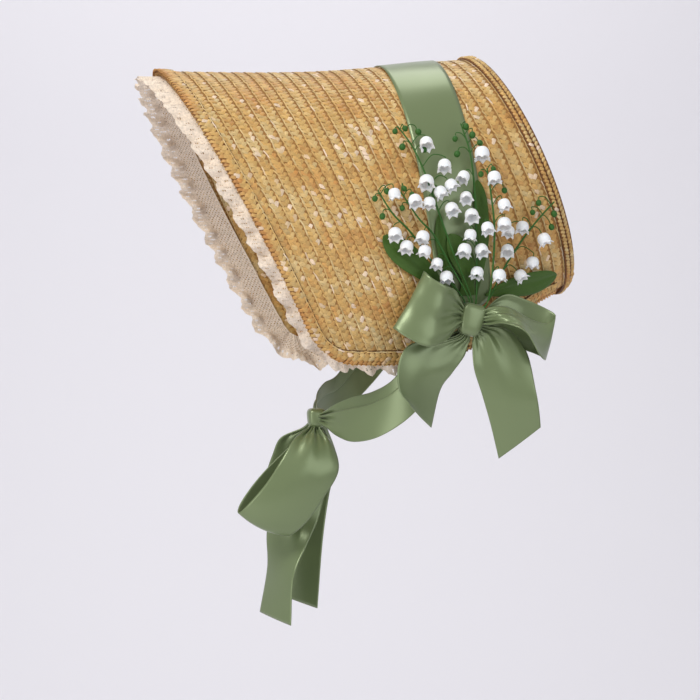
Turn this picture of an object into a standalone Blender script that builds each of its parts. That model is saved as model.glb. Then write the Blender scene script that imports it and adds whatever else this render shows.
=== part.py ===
# Straw poke bonnet with a satin ribbon band, side bow, lily of the valley bunch, lace ruffle and chin ties.
# Metres, +Z up, face opening towards -Y, the bow on +X. The origin is the inside of the top of the crown.

import math

import bmesh
import bpy
import numpy as np
from mathutils import Matrix, Vector

MM = 0.001

# Straw shell: leaning sections, each an arc of an ellipse, from the front edge to the tip.
SHELL_LENGTH = 246.0 * MM
SHELL_HALF_WIDTH = 111.0 * MM
SHELL_DEPTH = 246.0 * MM
SHELL_RISE = 7.0 * MM
SHELL_LEAN = math.radians(27.0)
FRONT_REACH = 199.0 * MM
FRONT_Y = -FRONT_REACH
STRAW_THICK = 2.0 * MM
CORNER_RADIUS = 27.0 * MM
SHELL_ROUND = 31
GAP = 0.35 * MM
TRIM_LIFT = 0.80 * MM
LACE_CLEARANCE = 1.5 * MM

# Straw trims
EDGE_BRAID_WIDTH = 12.0 * MM
EDGE_OVERHANG = 1.0 * MM
BRAID_THICK = 2.4 * MM
RIM_BRAID_WIDTH = 8.0 * MM
EDGE_BRAID_STOP = 9.0 * MM
TIP_DOME = 5.0 * MM

# Ribbon and lace
RIBBON_WIDTH = 44.0 * MM
RIBBON_THICK = 1.0 * MM
BAND_LIFT = 0.60 * MM
FAR_ANCHOR = 0.48
FAR_GATHER = 0.24
RIBBON_CROWN = 0.08
BAND_TOP_Y = FRONT_Y + 0.785 * SHELL_LENGTH
BAND_SLANT = 0.143
BAND_END = math.radians(119.0)
LACE_THICK = 1.0 * MM
LACE_INSIDE = 18.0 * MM
LACE_SHOWN = 13.0 * MM
LACE_END = 0.56
LACE_WAVE = 3.2 * MM
LACE_SWAY = 0.06
LACE_DROP = 1.2 * MM
LACE_TUCK = 0.4
GATHER_PITCH = 21.0 * MM
SAMPLES_PER_GATHER = 4
NEARBY = 0.01

# The two bows: the side bow's place on the shell, the chin bow's place below it, and their knots
BOW_Y = FRONT_Y + 0.898 * SHELL_LENGTH
BOW_Z = -0.797 * SHELL_DEPTH
BOW_LIFT = 0.364 * RIBBON_WIDTH
CHIN_SIDE = 20.0 * MM
CHIN_DROP = 25.5 * MM
CHIN_CENTRE = Vector((CHIN_SIDE, FRONT_Y + 0.492 * SHELL_LENGTH, -SHELL_DEPTH - CHIN_DROP))
BOW_KNOT_HALF = Vector((0.182, 0.205, 0.273)) * RIBBON_WIDTH
CHIN_KNOT_HALF = Vector((0.182, 0.148, 0.170)) * RIBBON_WIDTH

# Flowers and leaves, whose tables are shares of the bunch's height over the knot
BUNCH_REACH = 139.0 * MM
BELL_DIAMETER = 9.0 * MM
BELL_HEIGHT = 8.5 * MM
BUD_DIAMETER = 4.6 * MM
STEM_RADIUS = 1.0 * MM
STALK_RADIUS = 0.6 * MM
ROOT_HEIGHT = 0.10
LEAF_THICK = 1.0 * MM
LEAF_CREASE = 1.2 * MM
LEAF_TIP = 0.12
LEAF_ROWS = 8
LEAF_SEAT = BAND_LIFT + RIBBON_THICK + GAP + LEAF_THICK / 2
LEAF_RISE = 3.0

# Shell sections: share of the length, then shares of rise, lean, half width, depth (rounding) and depth (cut).
SECTION_COLUMNS = ("along", "rise", "lean", "half_width", "rounding", "depth")
SECTIONS = np.array((
    (0.00, -1.10, 1.01, 1.000, 0.640, 1.000),
    (0.25, -1.05, 0.90, 0.985, 0.622, 0.985),
    (0.50, -0.75, 0.80, 0.955, 0.590, 0.955),
    (0.70, -0.10, 0.80, 0.905, 0.520, 0.885),
    (0.85, 0.50, 0.83, 0.855, 0.452, 0.815),
    (1.00, 1.00, 0.87, 0.793, 0.388, 0.770),
))

# Ribbon rows: centre out, across, up, then half width out, across, up, in shares of the ribbon width.
LOOP_LEFT = (
    (0.05, -0.11, 0.03, 0.00, 0.01, 0.09),
    (0.14, -0.24, 0.09, 0.00, 0.02, 0.22),
    (0.30, -0.42, 0.07, 0.00, 0.08, 0.42),
    (0.45, -0.69, 0.06, 0.00, 0.15, 0.50),
    (0.41, -0.97, 0.20, 0.00, 0.21, 0.49),
    (0.26, -1.11, 0.33, 0.00, 0.26, 0.47),
    (0.10, -1.03, 0.29, 0.00, 0.24, 0.46),
    (0.03, -0.68, 0.15, 0.00, 0.13, 0.38),
    (-0.02, -0.40, 0.08, 0.00, 0.06, 0.26),
    (-0.03, -0.24, 0.06, 0.00, 0.02, 0.15),
    (-0.03, -0.11, 0.03, 0.00, 0.01, 0.08),
)
LOOP_RIGHT = (
    (0.05, 0.11, 0.03, 0.00, 0.01, 0.09),
    (0.13, 0.24, 0.05, -0.02, 0.00, 0.14),
    (0.31, 0.42, 0.08, -0.22, -0.02, 0.15),
    (0.45, 0.69, 0.00, -0.35, -0.03, 0.20),
    (0.49, 0.96, -0.27, -0.36, 0.03, 0.28),
    (0.38, 1.18, -0.36, -0.27, 0.10, 0.30),
    (0.15, 1.33, -0.29, -0.09, 0.12, 0.36),
    (-0.07, 1.22, -0.19, 0.00, 0.10, 0.38),
    (-0.19, 0.92, -0.06, 0.02, 0.08, 0.40),
    (-0.19, 0.64, 0.05, 0.02, 0.06, 0.38),
    (-0.16, 0.42, 0.07, 0.00, 0.04, 0.26),
    (-0.10, 0.24, 0.02, 0.00, 0.01, 0.13),
    (-0.04, 0.11, 0.02, 0.00, 0.01, 0.08),
)
TAIL_LEFT = (
    (0.00, -0.06, -0.14, 0.00, -0.05, 0.01),
    (0.00, -0.14, -0.30, 0.00, -0.12, 0.03),
    (0.02, -0.34, -0.39, 0.02, -0.29, 0.05),
    (0.06, -0.60, -0.52, 0.04, -0.48, 0.10),
    (0.10, -0.80, -0.82, 0.10, -0.48, 0.07),
    (0.08, -0.89, -1.16, 0.22, -0.40, 0.02),
    (0.00, -0.85, -1.61, 0.28, -0.24, 0.20),
)
TAIL_RIGHT = (
    (0.00, 0.09, -0.11, 0.00, 0.04, 0.03),
    (0.01, 0.19, -0.20, 0.00, 0.15, 0.10),
    (0.04, 0.33, -0.30, 0.02, 0.31, 0.14),
    (0.08, 0.49, -0.68, 0.05, 0.44, 0.14),
    (0.08, 0.64, -1.22, 0.12, 0.43, 0.04),
    (0.02, 0.76, -1.64, 0.14, 0.38, 0.13),
    (-0.08, 0.87, -2.07, 0.16, 0.32, 0.27),
)
# Chin ties: centres in shares of the way from the chin knot to the other end, half widths as above.
TIE_NEAR = (
    (0.946, 0.977, 0.915, 0.00, 0.05, -0.02),
    (0.925, 0.924, 0.828, 0.00, 0.10, -0.07),
    (0.910, 0.836, 0.711, 0.00, 0.15, -0.16),
    (0.900, 0.682, 0.536, 0.02, 0.18, -0.27),
    (0.838, 0.519, 0.245, 0.11, 0.14, -0.30),
    (0.680, 0.352, 0.076, 0.14, 0.05, -0.37),
    (0.486, 0.211, 0.012, 0.07, 0.02, -0.38),
    (0.291, 0.110, -0.006, 0.04, 0.02, -0.27),
    (0.112, 0.035, 0.000, 0.01, 0.00, -0.11),
    (0.046, 0.013, 0.000, 0.00, 0.00, -0.07),
)
TIE_FAR = (
    (0.036, 0.016, 0.000, 0.00, 0.00, -0.06),
    (0.087, 0.042, 0.009, 0.00, 0.00, -0.10),
    (0.246, 0.053, 0.044, 0.00, 0.00, -0.18),
    (0.468, 0.121, 0.106, -0.04, 0.02, -0.28),
    (0.675, 0.253, 0.194, -0.07, 0.05, -0.34),
    (0.889, 0.453, 0.300, 0.02, 0.09, -0.32),
    (1.048, 0.717, 0.670, 0.04, 0.16, -0.28),
)
CHIN_LOOP_NEAR = (
    (0.06, -0.03, -0.09, 0.00, 0.07, -0.01),
    (0.12, -0.06, -0.20, 0.00, 0.12, -0.02),
    (0.32, -0.11, -0.39, 0.00, 0.34, -0.04),
    (0.46, -0.19, -0.78, 0.00, 0.50, -0.09),
    (0.46, -0.43, -1.19, 0.00, 0.50, -0.13),
    (0.36, -0.73, -1.60, 0.00, 0.47, -0.20),
    (0.18, -0.96, -1.82, 0.00, 0.43, -0.21),
    (0.02, -0.88, -1.62, 0.00, 0.43, -0.20),
    (-0.05, -0.56, -1.12, 0.00, 0.40, -0.14),
    (-0.04, -0.22, -0.57, 0.00, 0.25, -0.07),
    (0.015, -0.06, -0.21, 0.00, 0.10, -0.02),
    (0.01, -0.03, -0.09, 0.00, 0.06, -0.01),
)
CHIN_LOOP_FAR = (
    (-0.125, -0.05, -0.07, 0.00, 0.04, -0.01),
    (-0.23, -0.12, -0.20, 0.00, 0.09, -0.02),
    (-0.36, -0.27, -0.39, 0.00, 0.30, -0.04),
    (-0.58, -0.27, -0.78, 0.00, 0.42, -0.09),
    (-0.74, -0.38, -1.18, 0.00, 0.42, -0.11),
    (-0.70, -0.56, -1.50, 0.00, 0.40, -0.16),
    (-0.56, -0.66, -1.68, 0.00, 0.38, -0.18),
    (-0.42, -0.58, -1.50, 0.00, 0.38, -0.16),
    (-0.33, -0.41, -1.05, 0.00, 0.31, -0.11),
    (-0.28, -0.20, -0.52, 0.00, 0.18, -0.05),
    (-0.16, -0.08, -0.22, 0.00, 0.06, -0.02),
    (-0.08, -0.05, -0.08, 0.00, 0.03, -0.01),
)
CHIN_TAIL_NEAR = (
    (-0.03, 0.02, -0.09, 0.00, 0.04, 0.00),
    (-0.07, 0.05, -0.24, 0.00, 0.10, 0.00),
    (-0.16, -0.02, -0.55, 0.00, 0.24, -0.02),
    (-0.19, -0.12, -0.95, 0.00, 0.36, -0.04),
    (-0.22, -0.33, -1.60, 0.06, 0.43, -0.08),
    (-0.26, -0.48, -2.14, 0.32, 0.30, -0.06),
    (-0.20, -0.60, -2.70, 0.44, 0.16, -0.04),
    (-0.14, -0.70, -3.50, 0.46, 0.20, -0.06),
)
CHIN_TAIL_FAR = (
    (-0.06, 0.05, -0.06, 0.02, 0.02, 0.00),
    (-0.17, 0.16, -0.20, 0.03, 0.05, 0.00),
    (-0.80, 0.24, -0.75, 0.10, 0.26, -0.02),
    (-1.02, -0.02, -1.40, 0.20, 0.40, -0.02),
    (-0.98, -0.14, -2.20, 0.28, 0.38, -0.04),
    (-0.90, -0.20, -3.30, 0.34, 0.32, -0.10),
)

# Leaves: lift over the band, width, share of it left at the base, then the midrib, tip to base, as across, up.
LEAVES = {
    "leaf_left": (0.001, 0.133, 0.12, ((-0.479, 0.436), (-0.383, 0.353), (-0.261, 0.260), (-0.120, 0.146))),
    "leaf_narrow": (0.000, 0.060, 0.12, ((-0.172, 0.555), (-0.168, 0.418), (-0.133, 0.272), (-0.070, 0.133))),
    "leaf_centre": (0.020, 0.127, 0.70, ((-0.124, 0.450), (-0.072, 0.356), (-0.024, 0.252), (-0.013, 0.133))),
    "leaf_middle": (0.000, 0.076, 0.12, ((0.044, 0.738), (0.057, 0.606), (0.070, 0.395), (0.044, 0.139))),
    "leaf_right": (0.020, 0.114, 0.12, ((0.530, 0.264), (0.362, 0.213), (0.215, 0.179), (0.098, 0.136))),
}

# Sprigs: stem lift, bell lift, root in the knot in ribbon widths, then stem, buds and bells as across, up.
SPRIGS = {
    "lily_sprig_1": (
        0.090, 0.119, (0.00, -0.030),
        ((-0.379, 0.978), (-0.315, 0.880), (-0.261, 0.752), (-0.214, 0.605), (-0.129, 0.365),
         (-0.024, 0.133)),
        ((-0.396, 0.950), (-0.340, 0.966), (-0.366, 0.874), (-0.250, 0.861), (-0.272, 0.953)),
        ((-0.243, 0.883), (-0.158, 0.777), (-0.261, 0.696), (-0.190, 0.645), (-0.130, 0.682),
         (-0.254, 0.589), (-0.136, 0.567)),
    ),
    "lily_sprig_2": (
        0.076, 0.101, (-0.02, -0.110),
        ((-0.513, 0.653), (-0.438, 0.539), (-0.348, 0.451), (-0.228, 0.301), (-0.066, 0.133)),
        ((-0.532, 0.614), (-0.466, 0.653), (-0.496, 0.527)),
        ((-0.432, 0.631), (-0.438, 0.438), (-0.378, 0.376)),
    ),
    "lily_sprig_3": (
        0.097, 0.126, (0.05, -0.075),
        ((-0.396, 0.644), (-0.309, 0.519), (-0.229, 0.437), (-0.150, 0.302), (-0.044, 0.136)),
        ((-0.377, 0.661), (-0.337, 0.633), (-0.394, 0.565)),
        ((-0.331, 0.598), (-0.299, 0.424), (-0.291, 0.356), (-0.227, 0.295), (-0.177, 0.234)),
    ),
    "lily_sprig_4": (
        0.094, 0.115, (-0.03, 0.025),
        ((-0.038, 0.999), (-0.005, 0.842), (0.002, 0.629), (0.001, 0.366), (0.002, 0.127)),
        ((-0.013, 0.987), (0.016, 0.946), (0.052, 0.906), (-0.079, 0.921), (-0.076, 0.847)),
        ((-0.061, 0.726), (0.051, 0.850), (-0.054, 0.626), (-0.029, 0.542), (-0.040, 0.443),
         (-0.073, 0.371), (0.019, 0.374), (-0.006, 0.261)),
    ),
    "lily_sprig_5": (
        0.144, 0.165, (0.05, 0.065),
        ((0.060, 0.769), (0.068, 0.683), (0.079, 0.499), (0.067, 0.304), (0.037, 0.124)),
        ((0.025, 0.738), (0.095, 0.766), (0.144, 0.668)),
        ((0.087, 0.723), (0.129, 0.597), (0.034, 0.480), (0.124, 0.508), (0.090, 0.261)),
    ),
    "lily_sprig_6": (
        0.076, 0.101, (-0.04, 0.130),
        ((0.453, 0.638), (0.366, 0.551), (0.274, 0.444), (0.163, 0.284), (0.086, 0.127)),
        ((0.362, 0.627), (0.327, 0.576), (0.452, 0.579), (0.439, 0.511)),
        ((0.379, 0.450), (0.315, 0.328), (0.254, 0.499), (0.176, 0.471), (0.169, 0.378), (0.246, 0.258)),
    ),
}
# Bell profile: radius and drop in shares of the bell's radius and height.
BELL_PROFILE = ((0.0, 0.0), (0.72, 0.14), (1.0, 0.58), (1.10, 1.0), (0.0, 0.86))
BUD_PROFILE = ((0.0, 0.0), (1.0, 0.5), (0.0, 1.0))


def column(share, name):
    """The table's column at this share of the length, smoothed between its rows."""
    index = SECTION_COLUMNS.index(name)
    along, value = SECTIONS[:, 0], SECTIONS[:, index]
    slope = np.gradient(value, along)
    s = np.clip(np.asarray(share, float), 0.0, 1.0)
    k = np.clip(np.searchsorted(along, s, side="right") - 1, 0, len(along) - 2)
    width = along[k + 1] - along[k]
    t = (s - along[k]) / width
    return ((2 * t**3 - 3 * t**2 + 1) * value[k] + (t**3 - 2 * t**2 + t) * width * slope[k]
            + (3 * t**2 - 2 * t**3) * value[k + 1] + (t**3 - t**2) * width * slope[k + 1])


def bare(share, turn):
    """The shell's outer surface at this share of the length and angle round from the top."""
    rise = SHELL_RISE * column(share, "rise")
    lean = SHELL_LEAN * column(share, "lean")
    down = SHELL_DEPTH * column(share, "rounding") * (1.0 - np.cos(turn))
    x = SHELL_HALF_WIDTH * column(share, "half_width") * np.sin(turn)
    y = FRONT_Y + SHELL_LENGTH * share + down * np.sin(lean)
    return np.stack((x, y, rise - down * np.cos(lean)), -1)


def skin(share, turn, lift=0.0):
    """A point lifted outwards from the shell's outer surface."""
    share, turn, lift = np.broadcast_arrays(*(np.asarray(v, float) for v in (share, turn, lift)))
    step = 1e-4
    along = bare(np.clip(share + step, 0.0, 1.0), turn) - bare(np.clip(share - step, 0.0, 1.0), turn)
    round_ = bare(share, turn + step) - bare(share, turn - step)
    normal = np.cross(round_, along)
    normal /= np.linalg.norm(normal, axis=-1, keepdims=True)
    return bare(share, turn) + normal * lift[..., None]


def edge_turn(share, drop=0.0):
    """The angle at which the shell is cut, less a drop measured up the section."""
    depth = SHELL_DEPTH * column(share, "depth") - drop
    return np.arccos(np.clip(1.0 - depth / (SHELL_DEPTH * column(share, "rounding")), -1.0, 1.0))


def locate(y, z):
    """Share and angle of the near side's point with this Y and Z."""
    low, high = np.full(np.shape(y), -0.2), np.full(np.shape(y), 1.2)
    for _ in range(40):
        share = (low + high) / 2
        lean = SHELL_LEAN * column(share, "lean")
        down = (SHELL_RISE * column(share, "rise") - z) / np.cos(lean)
        past = FRONT_Y + SHELL_LENGTH * share + down * np.sin(lean) > y
        low, high = np.where(past, low, share), np.where(past, share, high)
    turn = np.arccos(np.clip(1.0 - down / (SHELL_DEPTH * column(share, "rounding")), -1.0, 1.0))
    return share, turn


def beside_bow(across, up, lift):
    """The lifted point of the near side this far across and up from the bow's centre."""
    y = BOW_Y + BUNCH_REACH * np.asarray(across, float)
    z = BOW_Z + BUNCH_REACH * np.asarray(up, float)
    share, turn = locate(y, z)
    return skin(share, turn, lift)


def new_collection(name):
    made = bpy.data.collections.new(name)
    bpy.context.scene.collection.children.link(made)
    return made


def material(name, colour, roughness, metallic=0.0):
    made = bpy.data.materials.new(name)
    made.use_nodes = True
    shader = made.node_tree.nodes["Principled BSDF"]
    shader.inputs["Base Color"].default_value = (*colour, 1.0)
    shader.inputs["Roughness"].default_value = roughness
    shader.inputs["Metallic"].default_value = metallic
    return made


def mesh_object(name, vertices, faces, where, surface=None):
    mesh = bpy.data.meshes.new(name)
    mesh.from_pydata([tuple(v) for v in vertices], [], faces)
    mesh.update()
    made = bpy.data.objects.new(name, mesh)
    where.objects.link(made)
    if surface:
        made.data.materials.append(surface)
    return made


def grid_faces(rows, columns, closed=False):
    """Quads of a grid of rows by columns, wrapped round the columns when closed."""
    last = columns if closed else columns - 1
    return [(r * columns + c, r * columns + (c + 1) % columns,
             (r + 1) * columns + (c + 1) % columns, (r + 1) * columns + c)
            for r in range(rows - 1) for c in range(last)]


def solidify(target, thickness, offset):
    wall = target.modifiers.new("Wall", "SOLIDIFY")
    wall.thickness = thickness
    wall.offset = offset
    wall.use_even_offset = False


def sheet(name, grid, thickness, offset, surface):
    """A closed wall on a grid of points."""
    rows, columns = grid.shape[:2]
    made = mesh_object(name, grid.reshape(-1, 3), grid_faces(rows, columns), PARTS, surface)
    solidify(made, thickness, offset)
    return made


def tube_section(name, rings, closed, surface):
    """A closed body through rings of points, capped at both ends unless the rings join up."""
    count, sides = rings.shape[:2]
    faces = grid_faces(count, sides, closed=True)
    if closed:
        last = (count - 1) * sides
        faces += [(last + c, last + (c + 1) % sides, (c + 1) % sides, c) for c in range(sides)]
    else:
        faces += [tuple(range(sides)), tuple(range(count * sides - 1, (count - 1) * sides - 1, -1))]
    made = mesh_object(name, rings.reshape(-1, 3), faces, PARTS, surface)
    face_outwards(made)


def face_outwards(target):
    shape = bmesh.new()
    shape.from_mesh(target.data)
    bmesh.ops.recalc_face_normals(shape, faces=shape.faces)
    shape.to_mesh(target.data)
    shape.free()


def corner_stations(count):
    """Lengths and cut drops along the rounded front corner, from the front edge."""
    angle = np.linspace(0.0, math.pi / 2, count)
    return CORNER_RADIUS * (1 - np.cos(angle)), CORNER_RADIUS * (1 - np.sin(angle)), angle


def shell_grid(lift, columns, start_columns, last=1.0):
    """Points of the shell from edge to edge at a list of stations."""
    along, drop, _ = corner_stations(start_columns)
    share = np.concatenate((along / SHELL_LENGTH,
                            CORNER_RADIUS / SHELL_LENGTH + (last - CORNER_RADIUS / SHELL_LENGTH)
                            * np.sin(np.linspace(0.0, math.pi / 2, columns)[1:])))
    drop = np.concatenate((drop, np.zeros(columns - 1)))
    spread = np.linspace(-1.0, 1.0, SHELL_ROUND)
    turn = edge_turn(share, drop)[:, None] * spread[None]
    return skin(share[:, None], turn, lift)


def edge_path(last, side_count, corner_count, front_count):
    """The shell's free edge as shares, drops, signed angles and inward headings, near side to far side."""
    along, drop, angle = corner_stations(corner_count)
    low = np.linspace(last, CORNER_RADIUS / SHELL_LENGTH, side_count)
    half = np.concatenate((low, along[::-1][1:] / SHELL_LENGTH))
    half_drop = np.concatenate((np.zeros(side_count), drop[::-1][1:]))
    heading = np.concatenate((np.full(side_count, math.pi / 2), angle[::-1][1:]))
    turn = edge_turn(half, half_drop)
    front = np.linspace(turn[-1], -turn[-1], front_count)[1:-1]
    share = np.concatenate((half, np.zeros(len(front)), half[::-1]))
    side = np.concatenate((turn, front, -turn[::-1]))
    heading = np.concatenate((heading, np.zeros(len(front)), heading[::-1]))
    return share, side, heading


def inward(share, turn, heading, reach):
    """Share and angle after moving from the edge into the shell by a reach (negative: beyond it)."""
    step = 1e-4
    speed = np.linalg.norm(bare(share, turn + step) - bare(share, turn - step), axis=-1) / (2 * step)
    moved = share + reach * np.cos(heading) / SHELL_LENGTH
    return moved, turn - np.sign(turn) * reach * np.sin(heading) / speed


def beyond(share, turn, heading, reach, lift):
    """A point beside the edge; past the front edge the shell is carried straight on."""
    inside, angle = inward(share, turn, heading, reach)
    held = np.clip(inside, 0.0, 1.0)
    outer = skin(held, angle, lift)
    run = (skin(held + NEARBY, angle, lift) - outer) / NEARBY
    return outer + run * (inside - held)[..., None]


def strip_rings(path, profile):
    """Rings of a strip that follows the edge, with a profile of reach and lift."""
    share, turn, heading = path
    return np.stack([beyond(share, turn, heading, reach, lift) for reach, lift in profile], 1)


def band_share(turn, offset):
    """Share at which the ribbon band's line crosses this angle."""
    low, high = np.full(np.shape(turn), 0.2), np.full(np.shape(turn), 1.0)
    for _ in range(40):
        share = (low + high) / 2
        point = bare(share, turn)
        past = point[..., 1] > BAND_TOP_Y - BAND_SLANT * point[..., 2] + offset
        low, high = np.where(past, low, share), np.where(past, share, high)
    return share


def ribbon(name, table, span, centre, cutters, columns=5):
    """A ribbon through rows of centre and half width, lightly crowned across and cleared from its knots."""
    table = np.array(table)
    centres, halves = table[:, :3] * np.array(span), table[:, 3:] * RIBBON_WIDTH
    middle, half = centres[:, None], halves[:, None]
    across = np.linspace(-1.0, 1.0, columns)[None, :, None]
    run = np.gradient(centres, axis=0)[:, None]
    raised = np.cross(run, half)
    raised /= np.linalg.norm(raised, axis=-1, keepdims=True)
    swell = RIBBON_CROWN * np.linalg.norm(half, axis=-1, keepdims=True) * (1 - across**2)
    grid = np.array(centre) + middle + half * across + raised * swell
    made = sheet(name, grid, RIBBON_THICK, 0.0, SATIN)
    for cutter in cutters:
        cut(made, cutter)


def cut(target, cutter):
    """Clears the target from a knot."""
    clear = target.modifiers.new("Clear", "BOOLEAN")
    clear.operation = "DIFFERENCE"
    clear.solver = "EXACT"
    clear.object = cutter


def knot_pair(name, centre, half, turn, surface):
    """A knot and the slightly larger cutter that keeps what runs into it clear."""
    made = rounded_knot(name, centre, half, turn, PARTS)
    made.data.materials.append(surface)
    cutter = rounded_knot(name + "_cutter", centre, half + Vector((GAP, GAP, GAP)), turn, CUTTERS)
    cutter.hide_render = True
    cutter.display_type = "WIRE"
    return cutter


def rounded_knot(name, centre, half, turn, where):
    """A rounded knot from a sphere with softened corners."""
    shape = bmesh.new()
    bmesh.ops.create_uvsphere(shape, u_segments=12, v_segments=8, radius=1.0)
    for vertex in shape.verts:
        vertex.co = Vector([math.copysign(abs(value) ** 0.8, value) for value in vertex.co])
    place = Matrix.Translation(centre) @ Matrix.Rotation(turn, 4, "X") @ Matrix.Diagonal((*half, 1.0))
    bmesh.ops.transform(shape, matrix=place, verts=shape.verts)
    mesh = bpy.data.meshes.new(name)
    shape.to_mesh(mesh)
    shape.free()
    made = bpy.data.objects.new(name, mesh)
    where.objects.link(made)
    return made


def leaf(name, lift, width, foot, midrib, surface):
    """A pointed leaf along its midrib, creased along the middle."""
    points = np.array(midrib)
    at = np.linspace(0.0, 1.0, LEAF_ROWS)
    knots = np.linspace(0.0, 1.0, len(points))
    line = np.stack([np.interp(at, knots, points[:, i]) for i in range(2)], -1)
    line[1:-1] = (line[:-2] + 2 * line[1:-1] + line[2:]) / 4
    run = np.gradient(line, axis=0)
    run /= np.linalg.norm(run, axis=-1, keepdims=True)
    side = np.stack((-run[:, 1], run[:, 0]), -1)
    swell = LEAF_TIP + (1 - LEAF_TIP) * np.sin(math.pi * at**0.75) ** 0.8
    half = width / 2 * np.maximum(swell, foot * at)
    across = np.linspace(-1.0, 1.0, 5)
    flat = line[:, None] + side[:, None] * (half[:, None] * across)[..., None]
    crease = LEAF_CREASE * np.abs(across)[None] * (half / half.max())[:, None]
    risen = np.minimum(1.0, LEAF_RISE * (1.0 - at))[:, None] * lift * BUNCH_REACH
    grid = beside_bow(flat[..., 0], flat[..., 1], LEAF_SEAT + risen + crease)
    sheet(name, grid, LEAF_THICK, 0.0, surface)


def turned_mesh(profile, radius, height, steps):
    """A closed turned body whose axis points down from its top."""
    shape = bmesh.new()
    line = [shape.verts.new((r * radius, 0.0, -d * height)) for r, d in profile]
    edges = [shape.edges.new(pair) for pair in zip(line, line[1:])]
    bmesh.ops.spin(shape, geom=line + edges, cent=(0, 0, 0), axis=(0, 0, 1), angle=2 * math.pi,
                   steps=steps, use_merge=True, use_duplicate=False)
    bmesh.ops.remove_doubles(shape, verts=shape.verts, dist=0.00001)
    bmesh.ops.recalc_face_normals(shape, faces=shape.faces)
    return shape


def tube_mesh(points, radius, sides):
    """A closed tube made from a bevelled curve with filled caps."""
    data = bpy.data.curves.new("line", "CURVE")
    data.dimensions = "3D"
    data.bevel_depth = radius
    data.bevel_resolution = sides
    data.use_fill_caps = True
    line = data.splines.new("POLY")
    line.points.add(len(points) - 1)
    for at, point in zip(line.points, points):
        at.co = (*point, 1.0)
    holder = bpy.data.objects.new("line", data)
    shape = bmesh.new()
    made = bpy.data.meshes.new_from_object(holder)
    shape.from_mesh(made)
    bmesh.ops.remove_doubles(shape, verts=shape.verts, dist=0.00001)
    bmesh.ops.recalc_face_normals(shape, faces=shape.faces)
    bpy.data.objects.remove(holder)
    return shape


def merged(shapes):
    """One mesh from several bmesh bodies."""
    total = bmesh.new()
    for shape in shapes:
        held = bpy.data.meshes.new("held")
        shape.to_mesh(held)
        shape.free()
        total.from_mesh(held)
        bpy.data.meshes.remove(held)
    mesh = bpy.data.meshes.new("merged")
    total.to_mesh(mesh)
    total.free()
    return mesh


def hang(profile, radius, height, steps, top, outwards):
    """A bell or bud hung from its top, leaning outwards."""
    shape = turned_mesh(profile, radius, height, steps)
    axis = Vector((0.0, 0.0, -1.0)).lerp(outwards, 0.28).normalized()
    turn = Vector((0.0, 0.0, -1.0)).rotation_difference(axis).to_matrix().to_4x4()
    bmesh.ops.transform(shape, matrix=Matrix.Translation(top) @ turn, verts=shape.verts)
    return shape


def sprig(name, stem_lift, bell_lift, root, stem, buds, bells, surface):
    """A stem with hanging bells and buds, fused into one body and seated in the bow's knot."""
    line = np.array(stem)
    points = beside_bow(line[:, 0], line[:, 1], stem_lift * BUNCH_REACH)
    foot_in_knot = np.array(BOW_CENTRE) + np.array((*root, ROOT_HEIGHT)) * RIBBON_WIDTH
    points = np.vstack((points, foot_in_knot))
    fine = np.linspace(0.0, 1.0, 33)
    knots = np.linspace(0.0, 1.0, len(points))
    dense = np.stack([np.interp(fine, knots, points[:, i]) for i in range(3)], -1)
    shapes = []
    kinds = ((bells, bell_lift, BELL_PROFILE, BELL_DIAMETER / 2, BELL_HEIGHT, 6),
             (buds, stem_lift, BUD_PROFILE, BUD_DIAMETER / 2, BUD_DIAMETER, 5))
    for places, lift, profile, radius, height, steps in kinds:
        for across, up in places:
            middle = Vector(beside_bow(across, up, lift * BUNCH_REACH))
            outwards = (middle - Vector(beside_bow(across, up, 0.0))).normalized()
            top = middle + Vector((0.0, 0.0, height / 2))
            reach = np.linalg.norm(dense - np.array(top), axis=1) + np.abs(dense[:, 2] - top.z - height / 2)
            foot = Vector(dense[int(np.argmin(reach))])
            inside = top - Vector((0.0, 0.0, height * 0.12))
            shapes.append(hang(profile, radius, height, steps, top, outwards))
            shapes.append(tube_mesh((foot, inside), STALK_RADIUS, 0))
    body = bpy.data.objects.new(name, merged([tube_mesh(points, STEM_RADIUS, 0)]))
    PARTS.objects.link(body)
    body.data.materials.append(surface)
    extra = bpy.data.objects.new(name + "_flowers", merged(shapes))
    CUTTERS.objects.link(extra)
    extra.hide_render = True
    extra.display_type = "WIRE"
    fuse = body.modifiers.new("Fuse", "BOOLEAN")
    fuse.operation = "UNION"
    fuse.solver = "EXACT"
    fuse.use_self = True
    fuse.object = extra
    cut(body, BOW_CUTTER)


for old in list(bpy.data.objects):
    bpy.data.objects.remove(old)

PARTS = new_collection("poke_bonnet")
CUTTERS = new_collection("cutters")

STRAW = material("straw", (0.60, 0.38, 0.13), 0.55)
STRAW_EDGE = material("straw_edge", (0.58, 0.36, 0.12), 0.55)
SATIN = material("sage_satin", (0.21, 0.30, 0.15), 0.35)
LACE = material("cream_lace", (0.83, 0.73, 0.60), 0.85)
LEAF_GREEN = material("leaf_green", (0.05, 0.13, 0.04), 0.45)
BELL_WHITE = material("bell_white", (0.85, 0.86, 0.88), 0.5)

# Shell, tip and straw trims
sheet("straw_shell", shell_grid(0.0, 12, 5), STRAW_THICK, -1.0, STRAW)

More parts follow.
